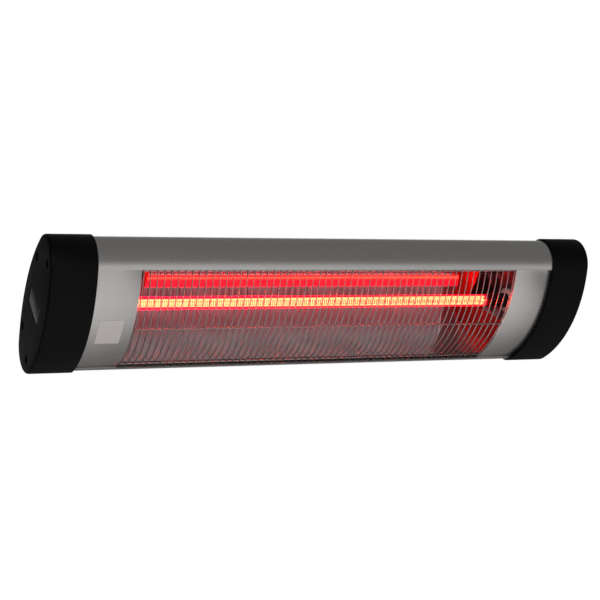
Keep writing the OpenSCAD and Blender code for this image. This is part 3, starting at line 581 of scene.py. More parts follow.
def edit(obj: bpy.types.Object) -> None:
    """Selects a piece alone and opens it in edit mode, all selected.

    Args:
        obj: The piece.
    """
    clear_selection()
    obj.select_set(True)
    bpy.context.view_layer.objects.active = obj
    bpy.ops.object.mode_set(mode="EDIT")
    bpy.ops.mesh.select_all(action="SELECT")


def close_edit() -> None:
    """Leaves edit mode."""
    bpy.ops.object.mode_set(mode="OBJECT")


def join(objects: Sequence[bpy.types.Object], name: str) -> bpy.types.Object:
    """Joins pieces into one.

    Args:
        objects: The pieces; the first one keeps the rest.
        name: The name of the whole.

    Returns:
        The joined piece.
    """
    clear_selection()
    for obj in objects:
        obj.select_set(True)
    bpy.context.view_layer.objects.active = objects[0]
    if len(objects) > 1:
        bpy.ops.object.join()
    objects[0].name = name
    return objects[0]


def traced(name: str, points: Sequence[Vector]) -> bpy.types.Object:
    """Draws a line from point to point, and stays in edit mode with its end selected.

    Args:
        name: The new piece's name.
        points: The points, in order.

    Returns:
        The piece, a chain of edges.
    """
    clear_selection()
    bpy.ops.mesh.primitive_plane_add(size=MM, location=points[0])
    obj = bpy.context.object
    obj.name = name
    bpy.ops.object.mode_set(mode="EDIT")
    bpy.ops.mesh.select_all(action="SELECT")
    bpy.ops.mesh.merge(type="CENTER")
    for start, end in zip(points, points[1:]):
        bpy.ops.mesh.extrude_vertices_move(TRANSFORM_OT_translate={"value": end - start})
    return obj


def prism(name: str, outline: Sequence[tuple[float, float]], start: float, end: float) -> bpy.types.Object:
    """Makes a solid bar along X from a closed outline.

    Args:
        name: The new piece's name.
        outline: (y, z) of each corner, in order.
        start: Where the bar starts along X.
        end: Where it ends.

    Returns:
        The solid, in object mode.
    """
    obj = traced(name, [Vector((start, y, z)) for y, z in outline])
    bpy.ops.mesh.select_all(action="SELECT")
    bpy.ops.mesh.remove_doubles(threshold=0.002 * MM)
    bpy.ops.mesh.select_all(action="SELECT")
    bpy.ops.mesh.edge_face_add()
    bpy.ops.mesh.extrude_region_move(TRANSFORM_OT_translate={"value": (end - start, 0, 0)})
    bpy.ops.mesh.select_all(action="SELECT")
    bpy.ops.mesh.normals_make_consistent(inside=False)
    close_edit()
    return obj


def rod(name: str, start: float, end: float, at: tuple[float, float], radius: float,
        sides: int = 32) -> bpy.types.Object:
    """Makes a round bar along X.

    Args:
        name: The new piece's name.
        start: Where the bar starts along X.
        end: Where it ends.
        at: (y, z) of its axis.
        radius: Its radius.
        sides: How many sides it is drawn with.

    Returns:
        The solid, in object mode.
    """
    clear_selection()
    bpy.ops.mesh.primitive_cylinder_add(
        vertices=sides, radius=radius, depth=end - start,
        location=((start + end) / 2, *at), rotation=(0, math.pi / 2, 0),
    )
    bpy.context.object.name = name
    return bpy.context.object


def select_edges(obj: bpy.types.Object, wanted) -> None:
    """Selects edges by their place, in edit mode.

    Args:
        obj: The piece, open in edit mode.
        wanted: A test of an edge's two ends, in the part's frame.
    """
    bpy.ops.mesh.select_all(action="DESELECT")
    close_edit()
    bpy.context.tool_settings.mesh_select_mode = (False, True, False)
    place = obj.matrix_world
    for edge in obj.data.edges:
        ends = [place @ obj.data.vertices[i].co for i in edge.vertices]
        edge.select = wanted(*ends)
    bpy.ops.object.mode_set(mode="EDIT")
    bpy.context.tool_settings.mesh_select_mode = (True, False, False)


def use_modifier(obj: bpy.types.Object, kind: str, **settings) -> None:
    """Adds a modifier and applies it.

    Args:
        obj: The piece.
        kind: Blender's name of the modifier's type.
        **settings: The modifier's own values.
    """
    clear_selection()
    obj.select_set(True)
    bpy.context.view_layer.objects.active = obj
    modifier = obj.modifiers.new(kind.lower(), kind)
    for key, value in settings.items():
        setattr(modifier, key, value)
    bpy.ops.object.modifier_apply(modifier=modifier.name)


def carve(obj: bpy.types.Object, tool: bpy.types.Object, operation: str = "DIFFERENCE") -> None:
    """Cuts a piece with another, or adds it on, and throws the other away.

    Args:
        obj: The piece.
        tool: The other one.
        operation: DIFFERENCE to cut, UNION to add.
    """
    use_modifier(obj, "BOOLEAN", object=tool, operation=operation, solver="EXACT")
    bpy.data.objects.remove(tool)


def copy_along(obj: bpy.types.Object, shifts: Iterable[Vector]) -> list[bpy.types.Object]:
    """Copies a piece, each copy with its own mesh.

    Args:
        obj: The piece, which stays as it is.
        shifts: How far each copy lies from it.

    Returns:
        The copies.
    """
    copies = []
    for shift in shifts:
        twin = obj.copy()
        twin.data = obj.data.copy()
        twin.location = obj.location + shift
        bpy.context.scene.collection.objects.link(twin)
        copies.append(twin)
    return copies


def mirrored(obj: bpy.types.Object, name: str) -> bpy.types.Object:
    """Copies a piece to the other end of the heater, as its mirror image.

    Args:
        obj: The piece.
        name: The copy's name.

    Returns:
        The copy, with its faces pointing outwards.
    """
    twin = obj.copy()
    twin.data = obj.data.copy()
    twin.name = name
    bpy.context.scene.collection.objects.link(twin)
    clear_selection()
    twin.select_set(True)
    bpy.context.view_layer.objects.active = twin
    bpy.ops.object.transform_apply(location=True, rotation=True, scale=True)
    twin.scale.x = -1
    bpy.ops.object.transform_apply(location=True, rotation=True, scale=True)
    edit(twin)
    bpy.ops.mesh.normals_make_consistent(inside=False)
    close_edit()
    return twin


class Assembler:
    """Puts finished pieces in place and on their bodies."""

    def __init__(self, paintshop: Paintshop) -> None:
        """Takes the paintshop that it sends pieces to."""
        self.paintshop = paintshop

    def fit(self, obj: bpy.types.Object, finish: Finish, nodes: Sequence[str],
            body: str = HEATER, level: bool = True, smooth: float = 30.0) -> bpy.types.Object:
        """Finishes a piece: its place, its shading, its finish, and what it stands for.

        Args:
            obj: The piece.
            finish: What it is finished in.
            nodes: The CAD nodes that it stands for.
            body: The body that it rides on.
            level: Whether it was drawn level and still has to go on the hinge.
            smooth: The angle in degrees above which an edge stays sharp.

        Returns:
            The piece.
        """
        clear_selection()
        obj.select_set(True)
        bpy.context.view_layer.objects.active = obj
        bpy.ops.object.transform_apply(location=True, rotation=True, scale=True)
        if level:
            obj.matrix_world = ON_HINGE
            bpy.ops.object.transform_apply(location=True, rotation=True, scale=True)
        bpy.ops.object.shade_smooth_by_angle(angle=math.radians(smooth))
        self.paintshop.paint(obj, finish)
        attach(obj, body)
        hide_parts(*nodes)
        LOG.info("%s: %d faces for %s", obj.name, len(obj.data.polygons), ", ".join(nodes))
        return obj

    def dress(self, node: str, finish: Finish, bevel: float = 0.25 * MM,
              body: str = HEATER, segments: int = 2) -> bpy.types.Object:
        """Breaks the edges of a CAD node's copy and finishes it.

        Args:
            node: The CAD node.
            finish: What it is finished in.
            bevel: The width of its broken edges, or 0 to leave them.
            body: The body that it rides on.
            segments: How round the broken edges are.

        Returns:
            The piece that stands for the node.
        """
        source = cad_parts[node]
        obj = source.copy()
        obj.data = source.data.copy()
        obj.parent = None
        obj.matrix_world = Matrix.Identity(4)
        for key in list(obj.keys()):
            if key.startswith("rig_"):
                del obj[key]
        obj.name = f"{node}_dressed"
        bpy.context.scene.collection.objects.link(obj)
        edit(obj)
        bpy.ops.mesh.remove_doubles(threshold=1e-6)
        bpy.ops.mesh.dissolve_limited(angle_limit=math.radians(1.0))
        close_edit()
        if bevel > 0:
            use_modifier(obj, "BEVEL", width=bevel, segments=segments, limit_method="ANGLE",
                         angle_limit=math.radians(40), harden_normals=False)
        return self.fit(obj, finish, [node], body=body, level=False)


# ---------------------------------------------------------------- the oval section


@dataclass(frozen=True)
class Half:
    """One half of the oval: a wide arc between two tight ones."""

    side: int
    end_radius: float
    end_height: float
    wide_radius: float
    wide_centre: float

    def tangent(self, inset: float) -> float:
        """Gives the height at which the arcs meet."""
        reach = self.wide_radius - inset
        return self.end_height * reach / (self.wide_radius - self.end_radius)

    def at(self, inset: float, height: float) -> float:
        """Gives y on the oval at a height.

        Args:
            inset: How far inside the caps' outline.
            height: The height from the middle.

        Returns:
            The place on Y.
        """
        if abs(height) <= self.tangent(inset):
            reach = math.sqrt((self.wide_radius - inset) ** 2 - height**2)
            return self.wide_centre + self.side * reach
        drop = abs(height) - self.end_height
        return self.side * math.sqrt(max(0.0, (self.end_radius - inset) ** 2 - drop**2))

    def walk(self, inset: float, start: float, end: float) -> list[tuple[float, float]]:
        """Walks along the oval between two heights.

        Args:
            inset: How far inside the caps' outline.
            start: The first height.
            end: The last height.

        Returns:
            (y, z) of points close enough together to look round.
        """
        spots = {start, end}
        meet = self.tangent(inset)
        lean = math.asin(meet / (self.wide_radius - inset))
        for i in range(-14, 15):
            spots.add((self.wide_radius - inset) * math.sin(lean * i / 14))
        for i in range(1, 11):
            turn = lean + (math.pi / 2 - lean) * i / 10
            height = self.end_height + (self.end_radius - inset) * math.sin(turn)
            spots.update((height, -height))
        low, high = min(start, end), max(start, end)
        kept = sorted(s for s in spots if low - 1e-9 <= s <= high + 1e-9)
        if start > end:
            kept.reverse()
        return [(self.at(inset, s), s) for s in kept]


FRONT = Half(-1, 30 * MM, 55 * MM, 146.875 * MM, 103.125 * MM)
BACK = Half(1, 27.5 * MM, 57.5 * MM, 166 * MM, -126 * MM)
HALF_HEIGHT = 85 * MM


def oval(inset: float) -> list[tuple[float, float]]:
    """Gives the whole oval as a closed outline.

    Args:
        inset: How far inside the caps' outline.

    Returns:
        (y, z) of its points.
    """
    top = HALF_HEIGHT - inset
    return FRONT.walk(inset, -top, top) + BACK.walk(inset, top, -top)[1:-1]


# ---------------------------------------------------------------- body


@dataclass
class Body:
    """The extruded shell, the two front panels and the bare sticker."""

    half_length: float = 276.5 * MM
    skin: float = 2.0 * MM
    wall: float = 1.8 * MM
    seam: float = 67 * MM
    groove: float = 70.5 * MM
    web: float = 72 * MM
    lip_edge: float = 65.5 * MM
    lip: tuple[float, float] = (5.7 * MM, 7.2 * MM)
    rib: tuple[float, float] = (8.4 * MM, 9.6 * MM)
    panel: tuple[float, float] = (4.0 * MM, 5.5 * MM)
    panel_height: float = 69.5 * MM
    window: float = 222.5 * MM
    rail_half: float = 9 * MM
    rail: tuple[float, float] = (37.1 * MM, 46.3 * MM)
    rail_end: float = 268 * MM
    ports: tuple[tuple[float, float], ...] = (
        (-12.5 * MM, 64 * MM), (-12.5 * MM, -64 * MM), (21 * MM, 46 * MM), (21 * MM, -46 * MM))

    def skin_outline(self) -> list[tuple[float, float]]:
        """Draws the shell's section, open between the seams.

        Returns:
            (y, z) of the closed outline.
        """
        top = HALF_HEIGHT - self.skin
        inner = self.skin + self.wall
        outside = (
            FRONT.walk(self.skin, self.seam, top) + BACK.walk(self.skin, top, -top)[1:-1]
            + FRONT.walk(self.skin, -top, -self.seam)
        )
        down = self.lips()
        low = HALF_HEIGHT - inner
        inside = (
            FRONT.walk(inner, -self.web, -low) + BACK.walk(inner, -low, low)[1:-1]
            + FRONT.walk(inner, low, self.web)
        )
        up = [(y, -z) for y, z in reversed(down)]
        return outside + down + inside + up

    def lips(self) -> list[tuple[float, float]]:
        """Draws the groove, the lip and the rib below the lower seam.

        Returns:
            (y, z) from the skin's edge round to the inner wall.
        """
        inner = self.skin + self.wall
        return (
            FRONT.walk(inner, -self.seam, -self.groove)
            + FRONT.walk(self.lip[0], -self.groove, -self.lip_edge)
            + FRONT.walk(self.lip[1], -self.lip_edge, -self.groove)
            + FRONT.walk(self.rib[0], -self.groove, -self.lip_edge)
            + FRONT.walk(self.rib[1], -self.lip_edge, -self.web)
        )

    def build(self, shop: Assembler) -> None:
        """Builds and fits the body's pieces."""
        shell = prism("shell", self.skin_outline(), -self.half_length, self.half_length)
        rail = self.rail_bar()
        ports = []
        for index, (y, z) in enumerate(self.ports):
            port = rod(f"port_{index}", -self.half_length, self.half_length, (y, z), 4 * MM)
            carve(port, rod("bore", -self.half_length - MM, self.half_length + MM, (y, z),
                            2.05 * MM, 20))
            ports.append(port)
        shell = join([shell, rail, *ports], "aluminium_shell")
        shop.fit(shell, ANODISED, ["rear_housing"])
        for side, node in ((-1, "front_panel_left"), (1, "front_panel_right")):
            ends = sorted((side * self.window, side * self.half_length))
            outer = FRONT.walk(self.panel[0], -self.panel_height, self.panel_height)
            inner = FRONT.walk(self.panel[1], self.panel_height, -self.panel_height)
            panel = prism(f"{node}_sheet", outer + inner, *ends)
            use_modifier(panel, "BEVEL", width=0.2 * MM, segments=2, limit_method="ANGLE",
                         angle_limit=math.radians(40))
            shop.fit(panel, ANODISED, [node])
        shop.dress("rating_sticker", FILM, bevel=0)

    def rail_bar(self) -> bpy.types.Object:
        """Makes the slotted rail on the back.

        Returns:
            The rail, level.
        """
        start, back = self.rail
        floor, inside = 39.4 * MM, 43.7 * MM
        half, cavity, mouth = self.rail_half, 5.2 * MM, 3.3 * MM
        rounding = 0.6 * MM
        outline = [
            (start, -half), (back - rounding, -half), (back, -half + rounding), (back, -mouth),
            (inside, -mouth), (inside, -cavity), (floor, -cavity), (floor, cavity),
            (inside, cavity), (inside, mouth), (back, mouth), (back, half - rounding),
            (back - rounding, half), (start, half),
        ]
        return prism("rail", outline, -self.rail_end, self.rail_end)


# ---------------------------------------------------------------- end caps


@dataclass
class EndCaps:
    """The two moulded caps, with their seals, screws and the bare badge plate."""

    start: float = 269.5 * MM
    end: float = 318 * MM
    wall: float = 3 * MM
    floor: float = 315 * MM
    body_end: float = 276.5 * MM
    seal_end: float = 278 * MM
    rounding: float = 3 * MM
    socket: float = 1.8 * MM
    front_socket: float = 3.8 * MM
    seam: float = 67 * MM
    well: float = 4.75 * MM
    pillar: float = 6.5 * MM
    well_floor: float = 280 * MM
    badge: tuple[float, float] = (39 * MM, 20 * MM)
    badge_margin: float = 1.5 * MM
    badge_recess: float = 1.1 * MM

    def socket_outline(self) -> list[tuple[float, float]]:
        """Draws the space that the body's end fills, with steps at the seams.

        Returns:
            (y, z) of the closed outline.
        """
        top = HALF_HEIGHT - self.socket
        return (
            FRONT.walk(self.front_socket, -self.seam, self.seam)
            + FRONT.walk(self.socket, self.seam, top)
            + BACK.walk(self.socket, top, -top)[1:-1]
            + FRONT.walk(self.socket, -top, -self.seam)
        )

    def right(self) -> bpy.types.Object:
        """Makes the right cap, before any recess in its end face.

        Returns:
            The cap, level.
        """
        cap = prism("cap", oval(0.0), self.start, self.end)
        edit(cap)
        select_edges(cap, lambda a, b: min(a.x, b.x) > self.end - 0.1 * MM)
        bpy.ops.mesh.bevel(offset=self.rounding, segments=5, profile=0.5, affect="EDGES",
                           clamp_overlap=True)
        select_edges(cap, lambda a, b: max(a.x, b.x) < self.start + 0.1 * MM)
        bpy.ops.mesh.bevel(offset=0.35 * MM, segments=2, profile=0.5, affect="EDGES")
        close_edit()
        hollow = prism("hollow", oval(self.wall), self.seal_end - MM, self.floor)
        carve(hollow, prism("socket", self.socket_outline(), self.start - MM, self.seal_end), "UNION")
        carve(cap, hollow)
        ports = Body().ports
        for at in ports:
            carve(cap, rod("pillar", self.body_end, self.floor + MM, at, self.pillar), "UNION")
        for at in ports:
            carve(cap, rod("well", self.well_floor, self.end + MM, at, self.well, 40))
            carve(cap, rod("hole", self.body_end - MM, self.end, at, 2.2 * MM, 24))
        return cap

    def rounded_outline(self, size: tuple[float, float], radius: float) -> list[tuple[float, float]]:
        """Draws a rectangle with round corners, middle at the origin.

        Args:
            size: Its length along Y and its height.
            radius: The corners' radius.

        Returns:
            (y, z) of the closed outline.
        """
        points = []
        for corner in range(4):
            turn = corner * math.pi / 2
            across = size[0] / 2 - radius if corner in (0, 3) else radius - size[0] / 2
            up = size[1] / 2 - radius if corner in (0, 1) else radius - size[1] / 2
            for step in range(7):
                angle = turn + step * math.pi / 12
                points.append((across + radius * math.cos(angle), up + radius * math.sin(angle)))
        return points

    def build(self, shop: Assembler) -> None:
        """Builds and fits both ends."""
        right = self.right()
        left = mirrored(right, "moulded_cap_left")
        recess = tuple(s + 2 * self.badge_margin for s in self.badge)
        carve(left, prism("recess", self.rounded_outline(recess, 3.5 * MM), -self.end - MM,
                          -self.end + self.badge_recess))
        gland = (10 * MM, -25 * MM)
        carve(right, rod("gland_hole", self.floor - MM, self.end + MM, gland, 6.2 * MM, 40))
        right.name = "moulded_cap_right"
        shop.fit(left, MOULDED_BLACK, ["end_cap_left"], smooth=35)
        shop.fit(right, MOULDED_BLACK, ["end_cap_right"], smooth=35)
        badge = prism("badge", self.rounded_outline(self.badge, 2 * MM),
                      -self.end + self.badge_recess - 0.8 * MM, -self.end + self.badge_recess)
        use_modifier(badge, "BEVEL", width=0.15 * MM, segments=2, limit_method="ANGLE",
                     angle_limit=math.radians(40))
        shop.fit(badge, BRUSHED, ["badge_plate"])
        for node in ("cap_seal_left", "cap_seal_right"):
            shop.dress(node, SILICONE, bevel=0)
        for node in ("cap_screws_left", "cap_screws_right"):
            shop.dress(node, ZINC, bevel=0.3 * MM)
        shop.dress("cable_gland", POLYAMIDE, bevel=0.4 * MM, segments=3)
        shop.dress("gland_nut", POLYAMIDE)


# ---------------------------------------------------------------- grille


@dataclass
class Grille:
    """The welded wires before the tube."""

    count: int = 59
    pitch: float = 7.6 * MM
    inset: float = 4.7 * MM
    wire: float = 0.7 * MM
    rod: float = 1.0 * MM
    rod_height: float = 64.05 * MM
    reach: float = 69.5 * MM
    sink: float = 0.25 * MM

    def wire_arc(self) -> bpy.types.Object:
        """Bends one wire on the front's wide arc.

        Returns:
            The wire, in the middle of the heater.
        """
        radius = FRONT.wide_radius - self.inset
        lean = math.asin(self.reach / radius)
        start = Vector((0.0, FRONT.wide_centre - radius * math.cos(lean), -self.reach))
        clear_selection()
        bpy.ops.mesh.primitive_circle_add(vertices=10, radius=self.wire, location=start,
                                          rotation=(lean, 0, 0), fill_type="NGON")
        obj = bpy.context.object
        bpy.ops.object.mode_set(mode="EDIT")
        bpy.ops.mesh.select_all(action="SELECT")
        bpy.ops.mesh.spin(steps=26, angle=2 * lean, center=(0, FRONT.wide_centre, 0),
                          axis=(1, 0, 0))
        bpy.ops.mesh.select_all(action="SELECT")
        bpy.ops.mesh.normals_make_consistent(inside=False)
        close_edit()
        return obj

    def weld(self, place: Vector, size: float) -> bpy.types.Object:
        """Makes the flattened bead of one weld.

        Args:
            place: Its middle.
            size: Half its length along the rod.

        Returns:
            The bead.
        """
        clear_selection()
        bpy.ops.mesh.primitive_uv_sphere_add(segments=8, ring_count=5, radius=size,
                                             location=place, scale=(1.0, 0.6, 0.8))
        return bpy.context.object

    def build(self, shop: Assembler) -> None:
        """Builds and fits the grille."""
        wire = self.wire_arc()
        middle = (self.count - 1) / 2
        shifts = [Vector(((i - middle) * self.pitch, 0, 0)) for i in range(self.count)]
        pieces = copy_along(wire, shifts)
        bpy.data.objects.remove(wire)
        half = middle * self.pitch + self.wire
        inner = self.inset + self.wire + self.rod - self.sink
        for side in (-1, 1):
            height = side * self.rod_height
            at = (FRONT.at(inner, height), height)
            bar = rod("inner_rod", -half, half, at, self.rod, 16)
            use_modifier(bar, "BEVEL", width=0.3 * MM, segments=2, limit_method="ANGLE")
            pieces.append(bar)
            seat = FRONT.at(self.inset + self.wire, height)
            bead = self.weld(Vector((0, seat, height)), 1.3 * MM)
            pieces += copy_along(bead, shifts)
            bpy.data.objects.remove(bead)
        outer = self.inset - self.wire - self.wire + self.sink
        at = (FRONT.at(outer, 0.0), 0.0)
        bar = rod("outer_rod", -half, half, at, self.wire, 12)
        use_modifier(bar, "BEVEL", width=0.2 * MM, segments=2, limit_method="ANGLE")
        pieces.append(bar)
        bead = self.weld(Vector((0, FRONT.at(self.inset - self.wire, 0.0), 0.0)), 1.0 * MM)
        pieces += copy_along(bead, shifts)
        bpy.data.objects.remove(bead)
        shop.fit(join(pieces, "welded_grille"), CHROMED, ["grille"], smooth=40)


# ---------------------------------------------------------------- trough


@dataclass
class Trough:
    """The reflector behind the tube: two bowed walls with a low ridge between them."""

    half_length: float = 248.7 * MM
    sheet: float = 0.8 * MM
    mouth_height: float = 62 * MM
    flange: float = 7.8 * MM
    flange_end: float = 66 * MM
    valley: tuple[float, float] = (30 * MM, 17 * MM)
    ridge: float = 26.5 * MM
    bow: float = 5 * MM
    bend: float = 1.2 * MM

    def wall(self) -> list[tuple[float, float]]:
        """Draws the upper wall from the valley to the mouth.

        Returns:
            (y, z) along the middle of the sheet.
        """
        mouth = Vector((FRONT.at(self.flange, self.mouth_height), self.mouth_height))
        valley = Vector(self.valley)
        chord = mouth - valley
        radius = ((chord.length / 2) ** 2 + self.bow**2) / (2 * self.bow)
        inward = Vector((-chord.y, chord.x)).normalized()
        if inward.x > 0:
            inward.negate()
        centre = (mouth + valley) / 2 + inward * (radius - self.bow)
        first = math.atan2(valley.y - centre.y, valley.x - centre.x)
        last = math.atan2(mouth.y - centre.y, mouth.x - centre.x)
        steps = 22
        return [
            (centre.x + radius * math.cos(first + (last - first) * i / steps),
             centre.y + radius * math.sin(first + (last - first) * i / steps))
            for i in range(steps + 1)
        ]

    def half(self) -> list[tuple[float, float]]:
        """Draws the upper half of the section, from the ridge to the flange's edge.

        Returns:
            (y, z) along the middle of the sheet.
        """
        slope = [
            (self.ridge + (self.valley[0] - self.ridge) * i / 6, self.valley[1] * i / 6)
            for i in range(1, 6)
        ]
        flange = FRONT.walk(self.flange, self.mouth_height, self.flange_end)[1:]
        return slope + self.wall() + flange

    def build(self, shop: Assembler) -> None:
        """Builds and fits the reflector."""
        upper = self.half()
        lower = [(y, -z) for y, z in reversed(upper)]
        line = lower + [(self.ridge, 0.0)] + upper
        obj = traced("trough", [Vector((-self.half_length, y, z)) for y, z in line])
        bpy.ops.mesh.select_all(action="SELECT")
        bpy.ops.mesh.extrude_region_move(
            TRANSFORM_OT_translate={"value": (2 * self.half_length, 0, 0)})
        bpy.ops.mesh.select_all(action="SELECT")
        bpy.ops.mesh.normals_make_consistent(inside=False)
        close_edit()
        use_modifier(obj, "SOLIDIFY", thickness=self.sheet, offset=0.0)
        obj.name = "trough_sheet"
        shop.fit(obj, BrightSheet(), ["reflector"], smooth=14)
        # the end walls take the sheet with the tube's red glow painted into its colour
        for node in ("end_wall_left", "end_wall_right"):
            shop.dress(node, RED_GLOW_SHEET, bevel=0)


# ---------------------------------------------------------------- heating tube


@dataclass
class HeatingTube:
    """The quartz tube with its coil, and the pieces that hold its ends."""

    axis: tuple[float, float] = (1 * MM, 0.0)
    half_length: float = 262 * MM
    radius: float = 7 * MM
    wall: float = 1.2 * MM
    coil_half: float = COIL_HALF
    wire: float = 0.55 * MM
    coil_radius: float = 4.2 * MM
    turns: int = 180

    def glass(self) -> bpy.types.Object:
        """Draws the tube with fire-rounded ends.

        Returns:
            The tube, level.
        """
        inner = self.radius - self.wall
        rounding = 0.3 * MM
        clear_selection()
        bpy.ops.mesh.primitive_cylinder_add(
            vertices=64, radius=self.radius, depth=2 * self.half_length, end_fill_type="NOTHING",
            location=(0, *self.axis), rotation=(0, math.pi / 2, 0))
        obj = bpy.context.object
        obj.name = "ruby_tube"
        use_modifier(obj, "SOLIDIFY", thickness=self.radius - inner, offset=-1.0)
        use_modifier(obj, "BEVEL", width=rounding, segments=2, limit_method="ANGLE",
                     angle_limit=math.radians(50))
        return obj

    def coil(self) -> bpy.types.Object:
        """Winds the coil and adds its straight tails.

        Returns:
            The coil, level.
        """
        clear_selection()
        place = (-self.coil_half, self.axis[0], self.axis[1] + self.coil_radius)
        bpy.ops.mesh.primitive_circle_add(vertices=6, radius=self.wire, location=place,
                                          rotation=(math.pi / 2, 0, 0))
        obj = bpy.context.object
        bpy.context.scene.cursor.location = (0, *self.axis)
        bpy.ops.object.transform_apply(location=True, rotation=True, scale=True)
        bpy.ops.object.origin_set(type="ORIGIN_CURSOR")
        use_modifier(obj, "SCREW", axis="X", steps=14, render_steps=14, angle=2 * math.pi,
                     screw_offset=2 * self.coil_half / self.turns, iterations=self.turns)
        edit(obj)
        bpy.ops.mesh.normals_make_consistent(inside=False)
        close_edit()
        tails = [
            rod("tail", *sorted((side * (self.coil_half - 2 * MM), side * self.half_length)),
                self.axis, 0.8 * MM, 12)
            for side in (-1, 1)
        ]
        return join([obj, *tails], "wound_coil")

    def build(self, shop: Assembler) -> None:
        """Builds and fits the tube and its ends."""
        shop.fit(self.glass(), RubyQuartz(), ["quartz_tube"])
        shop.fit(self.coil(), GlowingWire(), ["heating_coil"], smooth=60)
        for end in ("left", "right"):
            shop.dress(f"tube_cap_{end}", OXIDISED, bevel=0.4 * MM)
            shop.dress(f"tube_bush_{end}", STEATITE, bevel=0.4 * MM, segments=3)
            shop.dress(f"bush_clip_{end}", BLUED, bevel=0.15 * MM)


# ---------------------------------------------------------------- small pieces


@dataclass
class Fittings:
    """The end plates, the wiring and the hinge's hardware."""

    heater: dict[str, Finish] = field(default_factory=lambda: {
        "end_plate_left": ALUMINISED, "end_plate_right": ALUMINISED, "plate_screws": ZINC,
        "lead_left": BRAID, "lead_right": BRAID, "lead_grommets": SILICONE,
        "terminal_block": STEATITE, "terminal_screws": BRASS, "earth_lead": EARTH,
        "earth_screw": BRASS, "tilt_lug_left": POWDER, "tilt_lug_right": POWDER,
        "lug_bolts": ZINC, "lug_nuts": ZINC,
    })
    bracket: dict[str, Finish] = field(default_factory=lambda: {
        "wall_bracket": POWDER, "pivot_bolts": ZINC, "pivot_washers": ZINC,
        "friction_washers": FIBRE, "pivot_nuts": ZINC,
    })

    def build(self, shop: Assembler) -> None:
        """Fits every small piece."""
        for body, pieces in ((HEATER, self.heater), (BRACKET, self.bracket)):
            for node, finish in pieces.items():
                small = "lead" in node or "washers" in node
                shop.dress(node, finish, bevel=0.0 if small else 0.25 * MM, body=body)


# ---------------------------------------------------------------- studio


